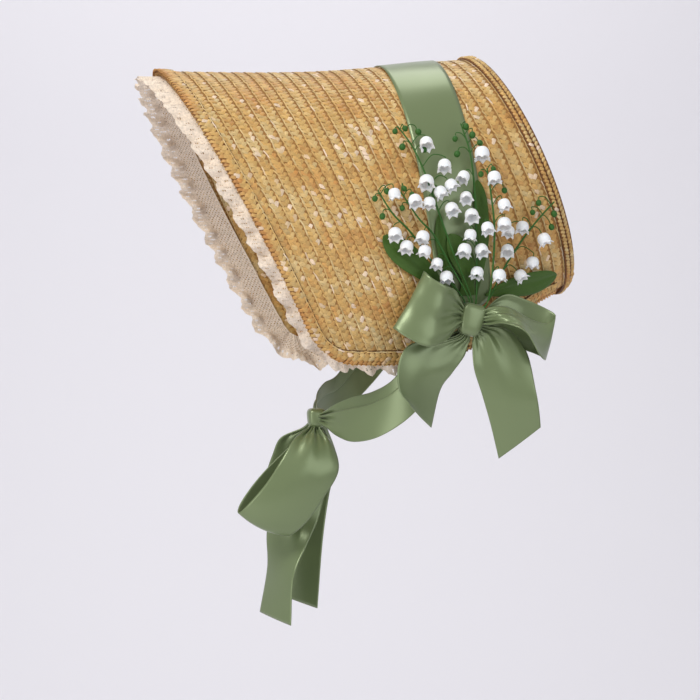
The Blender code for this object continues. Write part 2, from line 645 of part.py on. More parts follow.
around = np.append(edge_turn(1.0) * np.linspace(-1.0, 1.0, SHELL_ROUND), math.pi)
rim = skin(1.0, around, -STRAW_THICK - TRIM_LIFT)
middle = rim.mean(axis=0)
lean_tip = SHELL_LEAN * float(column(1.0, "lean"))
back_axis = np.array((0.0, math.cos(lean_tip), math.sin(lean_tip)))
rings = [middle + (rim - middle) * size + back_axis * TIP_DOME * (1 - size**2) for size in (1.0, 0.75, 0.4)]
dome = np.concatenate(rings)
dome_faces = grid_faces(len(rings), len(around), closed=True)
dome_faces.append(tuple(range((len(rings) - 1) * len(around), len(rings) * len(around))))
tip = mesh_object("crown_tip", dome, dome_faces, PARTS, STRAW)
face_outwards(tip)
solidify(tip, STRAW_THICK, 0.0)

rim_share = 1.0 - RIM_BRAID_WIDTH / SHELL_LENGTH
rim_profile = ((rim_share, TRIM_LIFT), (rim_share, TRIM_LIFT + BRAID_THICK * 0.6),
               ((1 + rim_share) / 2, TRIM_LIFT + BRAID_THICK), (1.0, TRIM_LIFT + BRAID_THICK * 0.8),
               (1.0, TRIM_LIFT))
rim_rings = np.stack([skin(share, around, lift) for share, lift in rim_profile], 1)
tube_section("tip_rim_braid", rim_rings, True, STRAW_EDGE)

braid_path = edge_path(rim_share - EDGE_BRAID_STOP / SHELL_LENGTH, 13, 5, 27)
braid_inner = EDGE_BRAID_WIDTH - EDGE_OVERHANG
braid_profile = ((-EDGE_OVERHANG, TRIM_LIFT), (-EDGE_OVERHANG, TRIM_LIFT + BRAID_THICK * 0.7),
                 (braid_inner * 0.4, TRIM_LIFT + BRAID_THICK), (braid_inner, TRIM_LIFT + BRAID_THICK * 0.5),
                 (braid_inner, TRIM_LIFT))
tube_section("edge_braid", strip_rings(braid_path, braid_profile), False, STRAW_EDGE)

# Lace ruffle, gathered inside the front and lower edges
fine_path = edge_path(LACE_END, 40, 24, 160)
fine_points = beyond(*fine_path, 0.0, 0.0)
length = np.concatenate(((0.0,), np.cumsum(np.linalg.norm(np.diff(fine_points, axis=0), axis=1))))
gathers = int(round(length[-1] / GATHER_PITCH))
stations = np.linspace(0.0, length[-1], gathers * SAMPLES_PER_GATHER + 1)
lace_path = [np.interp(stations, length, values) for values in fine_path]
wave = np.sin(2 * math.pi * gathers * stations / length[-1])
depth = STRAW_THICK + LACE_CLEARANCE
lace_rows = ((LACE_INSIDE, depth, 0.05), (-LACE_SHOWN * 0.1, depth + LACE_DROP, 0.40),
             (-LACE_SHOWN, depth + LACE_DROP, 1.0))
tucked = 1.0 - LACE_TUCK * np.clip(np.cos(lace_path[1]), 0.0, 1.0)
sway = LACE_SWAY * LACE_SHOWN * wave
lace_grid = np.stack([beyond(*lace_path, np.minimum(reach, reach * tucked) + share * sway,
                             -drop - share * LACE_WAVE * wave)
                      for reach, drop, share in lace_rows], 1)
sheet("lace_ruffle", lace_grid, LACE_THICK, 0.0, LACE)

# Ribbon band over the crown
band_turn = np.linspace(-BAND_END, BAND_END, SHELL_ROUND)[:, None]
band_offset = np.linspace(-0.5, 0.5, 4)[None] * RIBBON_WIDTH
band_at = band_share(*np.broadcast_arrays(band_turn, band_offset))
sheet("ribbon_band", skin(band_at, band_turn, BAND_LIFT + RIBBON_THICK / 2), RIBBON_THICK, 0.0, SATIN)

# Side bow
RIBBON_CUBE = (RIBBON_WIDTH, RIBBON_WIDTH, RIBBON_WIDTH)
bow_surface = skin(*locate(BOW_Y, BOW_Z))
BOW_CENTRE = Vector(bow_surface) + Vector((BOW_LIFT, 0.0, 0.0))
BOW_CUTTER = knot_pair("bow_knot", BOW_CENTRE, BOW_KNOT_HALF, math.radians(-14.0), SATIN)
BOW_RIBBONS = {
    "bow_loop_left": LOOP_LEFT,
    "bow_loop_right": LOOP_RIGHT,
    "bow_tail_left": TAIL_LEFT,
    "bow_tail_right": TAIL_RIGHT,
}
for ribbon_name, rows in BOW_RIBBONS.items():
    ribbon(ribbon_name, rows, RIBBON_CUBE, BOW_CENTRE, [BOW_CUTTER])

# Chin ties and their bow
CHIN_CUTTER = knot_pair("chin_knot", CHIN_CENTRE, CHIN_KNOT_HALF, 0.0, SATIN)
CHIN_RIBBONS = {
    "chin_loop_near": CHIN_LOOP_NEAR,
    "chin_loop_far": CHIN_LOOP_FAR,
    "chin_tail_near": CHIN_TAIL_NEAR,
    "chin_tail_far": CHIN_TAIL_FAR,
}
for ribbon_name, rows in CHIN_RIBBONS.items():
    ribbon(ribbon_name, rows, RIBBON_CUBE, CHIN_CENTRE, [CHIN_CUTTER])
ribbon("chin_tie_near", TIE_NEAR, BOW_CENTRE - CHIN_CENTRE, CHIN_CENTRE, [CHIN_CUTTER, BOW_CUTTER])

# The far tie ends flat on the edge braid
far_turn = edge_turn(FAR_ANCHOR, EDGE_BRAID_WIDTH / 2)
far_lift = TRIM_LIFT + BRAID_THICK + GAP * 2 + RIBBON_THICK / 2
far_end = skin(FAR_ANCHOR, -far_turn, far_lift) - np.array(CHIN_CENTRE)
edge_run = skin(FAR_ANCHOR + NEARBY, -far_turn, far_lift) - skin(FAR_ANCHOR - NEARBY, -far_turn, far_lift)
far_half = edge_run * FAR_GATHER / np.linalg.norm(edge_run)
ribbon("chin_tie_far", np.vstack((TIE_FAR, (1.0, 1.0, 1.0, *far_half))), far_end, CHIN_CENTRE, [CHIN_CUTTER])

# Leaves and flowers
for leaf_name, leaf_row in LEAVES.items():
    leaf(leaf_name, *leaf_row, LEAF_GREEN)
for sprig_name, sprig_row in SPRIGS.items():
    sprig(sprig_name, *sprig_row, BELL_WHITE)
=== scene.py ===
# Looks of the straw poke bonnet, laid out as a Blender add-on: plaited straw, satin, lace and flowers.
# Metres, +Z up, face opening towards -Y, the bow on +X. The origin is the inside of the top of the crown.

import math

import bpy
import numpy as np
from mathutils import Matrix, Vector


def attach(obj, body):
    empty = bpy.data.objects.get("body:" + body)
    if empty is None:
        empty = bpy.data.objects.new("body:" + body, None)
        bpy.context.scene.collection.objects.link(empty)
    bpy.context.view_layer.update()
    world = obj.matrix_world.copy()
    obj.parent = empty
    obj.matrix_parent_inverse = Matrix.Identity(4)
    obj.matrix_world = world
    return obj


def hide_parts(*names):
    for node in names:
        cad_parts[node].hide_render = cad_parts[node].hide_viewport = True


bl_info = {
    "name": "Poke bonnet",
    "version": (1, 0, 0),
    "blender": (4, 5, 0),
    "location": "View3D > Sidebar > Bonnet",
    "description": "Plaited straw, satin ribbons, lace and flowers around the bonnet's solids",
    "category": "Object",
}

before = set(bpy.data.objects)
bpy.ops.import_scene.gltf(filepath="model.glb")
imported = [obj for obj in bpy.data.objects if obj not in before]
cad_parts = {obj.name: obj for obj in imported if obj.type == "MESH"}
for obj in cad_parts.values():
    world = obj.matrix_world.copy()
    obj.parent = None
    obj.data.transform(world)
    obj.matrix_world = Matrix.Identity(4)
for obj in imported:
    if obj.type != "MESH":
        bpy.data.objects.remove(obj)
MM = 0.001
SEED = 41

# The shell, as in the solids
SHELL_LENGTH = 246.0 * MM
SHELL_HALF_WIDTH = 111.0 * MM
SHELL_DEPTH = 246.0 * MM
SHELL_RISE = 7.0 * MM
SHELL_LEAN = math.radians(27.0)
FRONT_Y = -199.0 * MM
STRAW_THICK = 2.0 * MM
CORNER_RADIUS = 27.0 * MM
EDGE_BRAID_WIDTH = 12.0 * MM
EDGE_OVERHANG = 1.0 * MM
RIM_BRAID_WIDTH = 8.0 * MM
EDGE_BRAID_STOP = 9.0 * MM
TRIM_LIFT = 0.8 * MM
BRAID_THICK = 2.4 * MM
TIP_DOME = 5.0 * MM
RIBBON_WIDTH = 44.0 * MM
RIBBON_THICK = 0.6 * MM
FAR_ANCHOR = 0.48
FAR_GATHER = 0.24
BAND_SLANT = 0.143
BAND_TOP_Y = FRONT_Y + 0.785 * SHELL_LENGTH
BAND_END = math.radians(119.0)
LACE_END = 0.56
LACE_INSIDE = 19.0 * MM
LACE_SHOWN = 14.0 * MM
LACE_TUCK = 0.4
GATHER_PITCH = 21.0 * MM
BOW_Y = FRONT_Y + 0.898 * SHELL_LENGTH
BOW_Z = -0.797 * SHELL_DEPTH
BOW_LIFT = 0.364 * RIBBON_WIDTH
CHIN_CENTRE = np.array((20.0 * MM, FRONT_Y + 0.492 * SHELL_LENGTH, -SHELL_DEPTH - 25.5 * MM))
BOW_KNOT_HALF = np.array((0.182, 0.205, 0.273)) * RIBBON_WIDTH
CHIN_KNOT_HALF = np.array((0.182, 0.148, 0.170)) * RIBBON_WIDTH
BUNCH_REACH = 139.0 * MM
LEAF_SEAT = 2.6 * MM
ROOT_HEIGHT = 0.10

# Plait: the two crossing columns and the ridge straw of each row
CROSSING_ANGLE = 0.80
CROSSING_PITCH = 1.32
RIDGE_ANGLE = 0.07
RIDGE_PITCH = 0.85
RIDGE_WIDTH = 1.05 * MM
LAST_SHARE = 0.999
TIP_ROWS = 9
TIP_CORE_THICK = 1.6 * MM
SPLINT_TUCK = 0.45 * MM
SPLINT_TILT = 0.22 * MM
ANGLE_VARIES = 0.10
SIZE_VARIES = 0.07
DOME_VARIES = 0.15

# Lace: zones of pin holes and of the fans, as shares of its width, and the open share of a hole
MESH_ZONE = (0.06, 0.60)
FAN_ZONE = (0.64, 0.92)
FAN_RISE = 0.22
HOLE_OPEN = (0.38, 0.68)

# Ribbons: falls of the pleats' height away from a knot, and the rounding of the knots
NEAR_FALL = 17.0 * MM
SOFT_FALL = 34.0 * MM
TIE_FOLD = 0.9 * MM
KNOT_POWER = 0.52

# Flowers: sizes that the settings leave fixed
BUD_RADIUS = 2.2 * MM
BUD_HEIGHT = 5.0 * MM
STALK_RADIUS = 0.38 * MM
LEAF_THICK = 0.7 * MM

# Stage: the wall behind the bonnet, the floor, the bend between them, the points lit and the lamps
WALL_DISTANCE, FLOOR_Z, WALL_BEND = 3.2, -0.95, 1.2
LIT_POINT = (0.0, -0.03, -0.17)
WALL_POINT = (-3.2, 0.0, 0.0)
LAMPS = (
    # name, place, size, watts, colour
    ("key", (1.0, -1.2, 1.2), 0.7, 20.0, (1.0, 0.985, 0.95)),
    ("fill", (1.6, 0.7, 0.2), 1.2, 7.0, (0.96, 0.98, 1.0)),
    ("front_fill", (1.0, -1.5, -0.3), 0.8, 6.0, (1.0, 0.99, 0.97)),
    ("top", (-0.6, 0.1, 1.35), 0.9, 7.0, (1.0, 0.99, 0.97)),
    ("wall_wash", (-1.5, 0.0, 1.6), 2.0, 24.0, (1.0, 0.99, 0.99)),
)
WORLD_COLOUR = (0.985, 0.98, 1.0, 1.0)
WORLD_STRENGTH = 0.50

# Camera at the photograph's angle
CAMERA_AZIMUTH = math.radians(79.0)
CAMERA_ELEVATION = math.radians(1.0)
CAMERA_DISTANCE = 1.62
AIM_RIGHT = -46.8 * MM
AIM_UP = -219.96 * MM
HALF_FIELD = 273.0 * MM

# Shell sections: share of the length, then shares of rise, lean, half width, depth (rounding, cut).
SECTION_COLUMNS = ("along", "rise", "lean", "half_width", "rounding", "depth")
SECTIONS = np.array((
    (0.00, -1.10, 1.01, 1.000, 0.640, 1.000),
    (0.25, -1.05, 0.90, 0.985, 0.622, 0.985),
    (0.50, -0.75, 0.80, 0.955, 0.590, 0.955),
    (0.70, -0.10, 0.80, 0.905, 0.520, 0.885),
    (0.85, 0.50, 0.83, 0.855, 0.452, 0.815),
    (1.00, 1.00, 0.87, 0.793, 0.388, 0.770),
))

# Ribbon rows: centre out, across, up, then half width out, across, up, in shares of the ribbon width.
LOOP_LEFT = (
    (0.05, -0.11, 0.03, 0.00, 0.01, 0.09),
    (0.14, -0.24, 0.09, 0.00, 0.02, 0.22),
    (0.30, -0.42, 0.07, 0.00, 0.08, 0.42),
    (0.45, -0.69, 0.06, 0.00, 0.15, 0.50),
    (0.41, -0.97, 0.20, 0.00, 0.21, 0.49),
    (0.26, -1.11, 0.33, 0.00, 0.26, 0.47),
    (0.10, -1.03, 0.29, 0.00, 0.24, 0.46),
    (0.03, -0.68, 0.15, 0.00, 0.13, 0.38),
    (-0.02, -0.40, 0.08, 0.00, 0.06, 0.26),
    (-0.03, -0.24, 0.06, 0.00, 0.02, 0.15),
    (-0.03, -0.11, 0.03, 0.00, 0.01, 0.08),
)
LOOP_RIGHT = (
    (0.05, 0.11, 0.03, 0.00, 0.01, 0.09),
    (0.13, 0.24, 0.05, -0.02, 0.00, 0.14),
    (0.31, 0.42, 0.08, -0.22, -0.02, 0.15),
    (0.45, 0.69, 0.00, -0.35, -0.03, 0.20),
    (0.49, 0.96, -0.27, -0.36, 0.03, 0.28),
    (0.38, 1.18, -0.36, -0.27, 0.10, 0.30),
    (0.15, 1.33, -0.29, -0.09, 0.12, 0.36),
    (-0.07, 1.22, -0.19, 0.00, 0.10, 0.38),
    (-0.19, 0.92, -0.06, 0.02, 0.08, 0.40),
    (-0.19, 0.64, 0.05, 0.02, 0.06, 0.38),
    (-0.16, 0.42, 0.07, 0.00, 0.04, 0.26),
    (-0.10, 0.24, 0.02, 0.00, 0.01, 0.13),
    (-0.04, 0.11, 0.02, 0.00, 0.01, 0.08),
)
TAIL_LEFT = (
    (0.00, -0.06, -0.14, 0.00, -0.05, 0.01),
    (0.00, -0.14, -0.30, 0.00, -0.12, 0.03),
    (0.02, -0.34, -0.39, 0.02, -0.29, 0.05),
    (0.06, -0.60, -0.52, 0.04, -0.48, 0.10),
    (0.10, -0.80, -0.82, 0.10, -0.48, 0.07),
    (0.08, -0.89, -1.16, 0.22, -0.40, 0.02),
    (0.00, -0.85, -1.61, 0.28, -0.24, 0.20),
)
TAIL_RIGHT = (
    (0.00, 0.09, -0.11, 0.00, 0.04, 0.03),
    (0.01, 0.19, -0.20, 0.00, 0.15, 0.10),
    (0.04, 0.33, -0.30, 0.02, 0.31, 0.14),
    (0.08, 0.49, -0.68, 0.05, 0.44, 0.14),
    (0.08, 0.64, -1.22, 0.12, 0.43, 0.04),
    (0.02, 0.76, -1.64, 0.14, 0.38, 0.13),
    (-0.08, 0.87, -2.07, 0.16, 0.32, 0.27),
)
# Chin ties: centres in shares of the way from the chin knot to the other end, half widths as above.
TIE_NEAR = (
    (0.946, 0.977, 0.915, 0.00, 0.05, -0.02),
    (0.925, 0.924, 0.828, 0.00, 0.10, -0.07),
    (0.910, 0.836, 0.711, 0.00, 0.15, -0.16),
    (0.900, 0.682, 0.536, 0.02, 0.18, -0.27),
    (0.838, 0.519, 0.245, 0.11, 0.14, -0.30),
    (0.680, 0.352, 0.076, 0.14, 0.05, -0.37),
    (0.486, 0.211, 0.012, 0.07, 0.02, -0.38),
    (0.291, 0.110, -0.006, 0.04, 0.02, -0.27),
    (0.112, 0.035, 0.000, 0.01, 0.00, -0.11),
    (0.046, 0.013, 0.000, 0.00, 0.00, -0.07),
)
TIE_FAR = (
    (0.036, 0.016, 0.000, 0.00, 0.00, -0.06),
    (0.087, 0.042, 0.009, 0.00, 0.00, -0.10),
    (0.246, 0.053, 0.044, 0.00, 0.00, -0.18),
    (0.468, 0.121, 0.106, -0.04, 0.02, -0.28),
    (0.675, 0.253, 0.194, -0.07, 0.05, -0.34),
    (0.889, 0.453, 0.300, 0.02, 0.09, -0.32),
    (1.048, 0.717, 0.670, 0.04, 0.16, -0.28),
)
CHIN_LOOP_NEAR = (
    (0.06, -0.03, -0.09, 0.00, 0.07, -0.01),
    (0.12, -0.06, -0.20, 0.00, 0.12, -0.02),
    (0.32, -0.11, -0.39, 0.00, 0.34, -0.04),
    (0.46, -0.19, -0.78, 0.00, 0.50, -0.09),
    (0.46, -0.43, -1.19, 0.00, 0.50, -0.13),
    (0.36, -0.73, -1.60, 0.00, 0.47, -0.20),
    (0.18, -0.96, -1.82, 0.00, 0.43, -0.21),
    (0.02, -0.88, -1.62, 0.00, 0.43, -0.20),
    (-0.05, -0.56, -1.12, 0.00, 0.40, -0.14),
    (-0.04, -0.22, -0.57, 0.00, 0.25, -0.07),
    (0.015, -0.06, -0.21, 0.00, 0.10, -0.02),
    (0.01, -0.03, -0.09, 0.00, 0.06, -0.01),
)
CHIN_LOOP_FAR = (
    (-0.125, -0.05, -0.07, 0.00, 0.04, -0.01),
    (-0.23, -0.12, -0.20, 0.00, 0.09, -0.02),
    (-0.36, -0.27, -0.39, 0.00, 0.30, -0.04),
    (-0.58, -0.27, -0.78, 0.00, 0.42, -0.09),
    (-0.74, -0.38, -1.18, 0.00, 0.42, -0.11),
    (-0.70, -0.56, -1.50, 0.00, 0.40, -0.16),
    (-0.56, -0.66, -1.68, 0.00, 0.38, -0.18),
    (-0.42, -0.58, -1.50, 0.00, 0.38, -0.16),
    (-0.33, -0.41, -1.05, 0.00, 0.31, -0.11),
    (-0.28, -0.20, -0.52, 0.00, 0.18, -0.05),
    (-0.16, -0.08, -0.22, 0.00, 0.06, -0.02),
    (-0.08, -0.05, -0.08, 0.00, 0.03, -0.01),
)
CHIN_TAIL_NEAR = (
    (-0.03, 0.02, -0.09, 0.00, 0.04, 0.00),
    (-0.07, 0.05, -0.24, 0.00, 0.10, 0.00),
    (-0.16, -0.02, -0.55, 0.00, 0.24, -0.02),
    (-0.19, -0.12, -0.95, 0.00, 0.36, -0.04),
    (-0.22, -0.33, -1.60, 0.06, 0.43, -0.08),
    (-0.26, -0.48, -2.14, 0.32, 0.30, -0.06),
    (-0.20, -0.60, -2.70, 0.44, 0.16, -0.04),
    (-0.14, -0.70, -3.50, 0.46, 0.20, -0.06),
)
CHIN_TAIL_FAR = (
    (-0.06, 0.05, -0.06, 0.02, 0.02, 0.00),
    (-0.17, 0.16, -0.20, 0.03, 0.05, 0.00),
    (-0.80, 0.24, -0.75, 0.10, 0.26, -0.02),
    (-1.02, -0.02, -1.40, 0.20, 0.40, -0.02),
    (-0.98, -0.14, -2.20, 0.28, 0.38, -0.04),
    (-0.90, -0.20, -3.30, 0.34, 0.32, -0.10),
)

# Leaves: lift over the band, width, share left at the base, then the midrib, tip to base, as across, up.
LEAVES = {
    "leaf_left": (0.001, 0.133, 0.12, ((-0.479, 0.436), (-0.383, 0.353), (-0.261, 0.260), (-0.120, 0.146))),
    "leaf_narrow": (0.000, 0.060, 0.12, ((-0.172, 0.555), (-0.168, 0.418), (-0.133, 0.272), (-0.070, 0.133))),
    "leaf_centre": (0.020, 0.127, 0.70, ((-0.124, 0.450), (-0.072, 0.356), (-0.024, 0.252), (-0.013, 0.133))),
    "leaf_middle": (0.000, 0.076, 0.12, ((0.044, 0.738), (0.057, 0.606), (0.070, 0.395), (0.044, 0.139))),
    "leaf_right": (0.020, 0.114, 0.12, ((0.530, 0.264), (0.362, 0.213), (0.215, 0.179), (0.098, 0.136))),
}

# Sprigs: stem lift, bell lift, root in the knot in ribbon widths, then stem, buds and bells as across, up.
SPRIGS = {
    "lily_sprig_1": (
        0.090, 0.119, (0.00, -0.030),
        ((-0.379, 0.978), (-0.315, 0.880), (-0.261, 0.752), (-0.214, 0.605), (-0.129, 0.365),
         (-0.024, 0.133)),
        ((-0.396, 0.950), (-0.340, 0.966), (-0.366, 0.874), (-0.250, 0.861), (-0.272, 0.953)),
        ((-0.243, 0.883), (-0.158, 0.777), (-0.261, 0.696), (-0.190, 0.645), (-0.130, 0.682),
         (-0.254, 0.589), (-0.136, 0.567)),
    ),
    "lily_sprig_2": (
        0.076, 0.101, (-0.02, -0.110),
        ((-0.513, 0.653), (-0.438, 0.539), (-0.348, 0.451), (-0.228, 0.301), (-0.066, 0.133)),
        ((-0.532, 0.614), (-0.466, 0.653), (-0.496, 0.527)),
        ((-0.432, 0.631), (-0.438, 0.438), (-0.378, 0.376)),
    ),
    "lily_sprig_3": (
        0.097, 0.126, (0.05, -0.075),
        ((-0.396, 0.644), (-0.309, 0.519), (-0.229, 0.437), (-0.150, 0.302), (-0.044, 0.136)),
        ((-0.377, 0.661), (-0.337, 0.633), (-0.394, 0.565)),
        ((-0.331, 0.598), (-0.299, 0.424), (-0.291, 0.356), (-0.227, 0.295), (-0.177, 0.234)),
    ),
    "lily_sprig_4": (
        0.094, 0.115, (-0.03, 0.025),
        ((-0.038, 0.999), (-0.005, 0.842), (0.002, 0.629), (0.001, 0.366), (0.002, 0.127)),
        ((-0.013, 0.987), (0.016, 0.946), (0.052, 0.906), (-0.079, 0.921), (-0.076, 0.847)),
        ((-0.061, 0.726), (0.051, 0.850), (-0.054, 0.626), (-0.029, 0.542), (-0.040, 0.443),
         (-0.073, 0.371), (0.019, 0.374), (-0.006, 0.261)),
    ),
    "lily_sprig_5": (
        0.144, 0.165, (0.05, 0.065),
        ((0.060, 0.769), (0.068, 0.683), (0.079, 0.499), (0.067, 0.304), (0.037, 0.124)),
        ((0.025, 0.738), (0.095, 0.766), (0.144, 0.668)),
        ((0.087, 0.723), (0.129, 0.597), (0.034, 0.480), (0.124, 0.508), (0.090, 0.261)),
    ),
    "lily_sprig_6": (
        0.076, 0.101, (-0.04, 0.130),
        ((0.453, 0.638), (0.366, 0.551), (0.274, 0.444), (0.163, 0.284), (0.086, 0.127)),
        ((0.362, 0.627), (0.327, 0.576), (0.452, 0.579), (0.439, 0.511)),
        ((0.379, 0.450), (0.315, 0.328), (0.254, 0.499), (0.176, 0.471), (0.169, 0.378), (0.246, 0.258)),
    ),
}


def linear(colour):
    """Scene-linear value of a display colour: ((c + 0.055) / 1.055) ** 2.4."""
    return ((np.asarray(colour, float) + 0.055) / 1.055) ** 2.4


def unit(v):
    """The vectors at length 1."""
    return v / np.maximum(np.linalg.norm(v, axis=-1, keepdims=True), 1e-12)


def hermite(t, first, last, first_slope, last_slope):
    """Cubic from first to last as t runs from 0 to 1, with these slopes at its ends."""
    return ((2 * t**3 - 3 * t**2 + 1) * first + (t**3 - 2 * t**2 + t) * first_slope
            + (3 * t**2 - 2 * t**3) * last + (t**3 - t**2) * last_slope)


def halved(low, high, is_past):
    """The places, one for each pair of ends, where is_past turns true, by halving the interval."""
    for _ in range(40):
        middle = (low + high) / 2
        past = is_past(middle)
        low, high = np.where(past, low, middle), np.where(past, middle, high)
    return middle


def column(share, name):
    """The section table's column at this share of the length, smoothed between its rows."""
    index = SECTION_COLUMNS.index(name)
    along, value = SECTIONS[:, 0], SECTIONS[:, index]
    slope = np.gradient(value, along)
    s = np.clip(np.asarray(share, float), 0.0, 1.0)
    k = np.clip(np.searchsorted(along, s, side="right") - 1, 0, len(along) - 2)
    width = along[k + 1] - along[k]
    return hermite((s - along[k]) / width, value[k], value[k + 1], width * slope[k], width * slope[k + 1])


def bare(share, turn):
    """The shell's outer surface: x = a sin(turn), down = b (1 - cos(turn)), leaning with the section."""
    rise = SHELL_RISE * column(share, "rise")
    lean = SHELL_LEAN * column(share, "lean")
    down = SHELL_DEPTH * column(share, "rounding") * (1.0 - np.cos(turn))
    x = SHELL_HALF_WIDTH * column(share, "half_width") * np.sin(turn)
    y = FRONT_Y + SHELL_LENGTH * np.asarray(share) + down * np.sin(lean)
    return np.stack(np.broadcast_arrays(x, y, rise - down * np.cos(lean)), -1)


def skin(share, turn, lift=0.0):
    """The shell's surface moved out along its normal by lift."""
    share, turn, lift = np.broadcast_arrays(*(np.asarray(v, float) for v in (share, turn, lift)))
    step = 1e-4
    along = bare(np.clip(share + step, 0.0, 1.0), turn) - bare(np.clip(share - step, 0.0, 1.0), turn)
    round_ = bare(share, turn + step) - bare(share, turn - step)
    return bare(share, turn) + unit(np.cross(round_, along)) * lift[..., None]


def edge_turn(share, drop=0.0):
    """The angle at which the shell is cut, less a drop measured up the section."""
    depth = SHELL_DEPTH * column(share, "depth") - drop
    return np.arccos(np.clip(1.0 - depth / (SHELL_DEPTH * column(share, "rounding")), -1.0, 1.0))


def corner_drop(share):
    """How far the rounded front corner lifts the edge at this share: r - sqrt(r^2 - (r - y)^2)."""
    back = np.clip(CORNER_RADIUS - share * SHELL_LENGTH, 0.0, CORNER_RADIUS)
    return CORNER_RADIUS - np.sqrt(CORNER_RADIUS**2 - back**2)


def locate(y, z):
    """Share and angle of the near side's point with this Y and Z, by halving the interval."""
    def fall(share):
        lean = SHELL_LEAN * column(share, "lean")
        return lean, (SHELL_RISE * column(share, "rise") - z) / np.cos(lean)

    def is_past(share):
        lean, down = fall(share)
        return FRONT_Y + SHELL_LENGTH * share + down * np.sin(lean) > y

    share = halved(np.full(np.shape(y), -0.2), np.full(np.shape(y), 1.2), is_past)
    down = fall(share)[1]
    return share, np.arccos(np.clip(1.0 - down / (SHELL_DEPTH * column(share, "rounding")), -1.0, 1.0))


def beside_bow(across, up, lift):
    """The near side's lifted point this far across and up from the bow's centre."""
    share, turn = locate(BOW_Y + BUNCH_REACH * np.asarray(across, float),
                         BOW_Z + BUNCH_REACH * np.asarray(up, float))
    return skin(share, turn, lift)


def corner_stations(count):
    """Lengths and cut drops along the rounded front corner, from the front edge."""
    angle = np.linspace(0.0, math.pi / 2, count)
    return CORNER_RADIUS * (1 - np.cos(angle)), CORNER_RADIUS * (1 - np.sin(angle)), angle


def edge_path(last, side_count, corner_count, front_count):
    """The shell's free edge as shares, signed angles and inward headings, near side to far side."""
    along, drop, angle = corner_stations(corner_count)
    low = np.linspace(last, CORNER_RADIUS / SHELL_LENGTH, side_count)
    half = np.concatenate((low, along[::-1][1:] / SHELL_LENGTH))
    half_drop = np.concatenate((np.zeros(side_count), drop[::-1][1:]))
    heading = np.concatenate((np.full(side_count, math.pi / 2), angle[::-1][1:]))
    turn = edge_turn(half, half_drop)
    front = np.linspace(turn[-1], -turn[-1], front_count)[1:-1]
    share = np.concatenate((half, np.zeros(len(front)), half[::-1]))
    side = np.concatenate((turn, front, -turn[::-1]))
    return share, side, np.concatenate((heading, np.zeros(len(front)), heading[::-1]))


def beyond(share, turn, heading, reach, lift):
    """A point beside the edge, reach into the shell; past the front edge the shell is carried straight on."""
    step = 1e-4
    speed = np.linalg.norm(bare(share, turn + step) - bare(share, turn - step), axis=-1) / (2 * step)
    inside = share + reach * np.cos(heading) / SHELL_LENGTH
    angle = turn - np.sign(turn) * reach * np.sin(heading) / speed
    held = np.clip(inside, 0.0, 1.0)
    outer = skin(held, angle, lift)
    run = (skin(held + 0.01, angle, lift) - outer) / 0.01
    return outer + run * (inside - held)[..., None]


def lengths(points):
    """Lengths run along a line of points, from 0 at the first."""
    return np.concatenate(((0.0,), np.cumsum(np.linalg.norm(np.diff(points, axis=0), axis=1))))


def edge_line(last):
    """The free edge's values and lengths at a fine spacing, ready to be read at any length."""
    path = edge_path(last, 160, 60, 500)
    return path, lengths(beyond(*path, 0.0, 0.0))


def beside_edge(line, s, reach, lift):
    """The point at length s along an edge line, reach into the shell and lifted."""
    path, length = line
    values = [np.interp(s, length, part) for part in path]
    return beyond(*values, reach, lift)


def band_share(turn, offset):
    """Share at which the ribbon band's line crosses this angle, by halving the interval."""
    def is_past(share):
        point = bare(share, turn)
        return point[..., 1] > BAND_TOP_Y - BAND_SLANT * point[..., 2] + offset

    return halved(np.full(np.shape(turn), 0.2), np.full(np.shape(turn), 1.0), is_past)


def spline(rows, count):
    """A smooth line through the rows, cubic Hermite with central slopes, at count even steps."""
    rows = np.asarray(rows, float)
    at = np.arange(len(rows), dtype=float)
    slope = np.gradient(rows, at, axis=0)
    t = np.linspace(0.0, len(rows) - 1.0, count)
    k = np.minimum(t.astype(int), len(rows) - 2)
    return hermite((t - k)[:, None], rows[k], rows[k + 1], slope[k], slope[k + 1])


def grid_quads(rows, columns, closed=False):
    """Corner indices of the quads of a grid, wrapped round the columns when closed."""
    last = columns if closed else columns - 1
    r, c = np.meshgrid(np.arange(rows - 1), np.arange(last), indexing="ij")
    here, there = r * columns, (r + 1) * columns
    n = (c + 1) % columns
    return np.stack((here + c, here + n, there + n, there + c), -1).reshape(-1, 4)


def piece(name, points, quads, surface, slot, nodes=(), tint=None, uv=None):
    """A smooth mesh from arrays, riding on the bonnet's one body."""
    mesh = bpy.data.meshes.new(name)
    mesh.from_pydata(points, [], quads.tolist())
    if tint is not None:
        layer = mesh.color_attributes.new("tint", "FLOAT_COLOR", "POINT")
        rgba = np.ones((len(points), 4), np.float32)
        rgba[:, :3] = tint
        layer.data.foreach_set("color", rgba.ravel())
    if uv is not None:
        corner = np.empty(len(mesh.loops), np.int32)
        mesh.loops.foreach_get("vertex_index", corner)
        mesh.uv_layers.new(name="grain").uv.foreach_set("vector", np.asarray(uv, np.float32)[corner].ravel())
    mesh.shade_smooth()
    mesh.materials.append(surface)
    made = bpy.data.objects.new(name, mesh)
    bpy.context.scene.collection.objects.link(made)
    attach(made, "root")
    if nodes:
        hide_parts(*nodes)
    return made


def wall(target, thickness, offset):
    """Gives a sheet its thickness."""
    solid = target.modifiers.new("Wall", "SOLIDIFY")
    solid.thickness = thickness
    solid.offset = offset
    return target


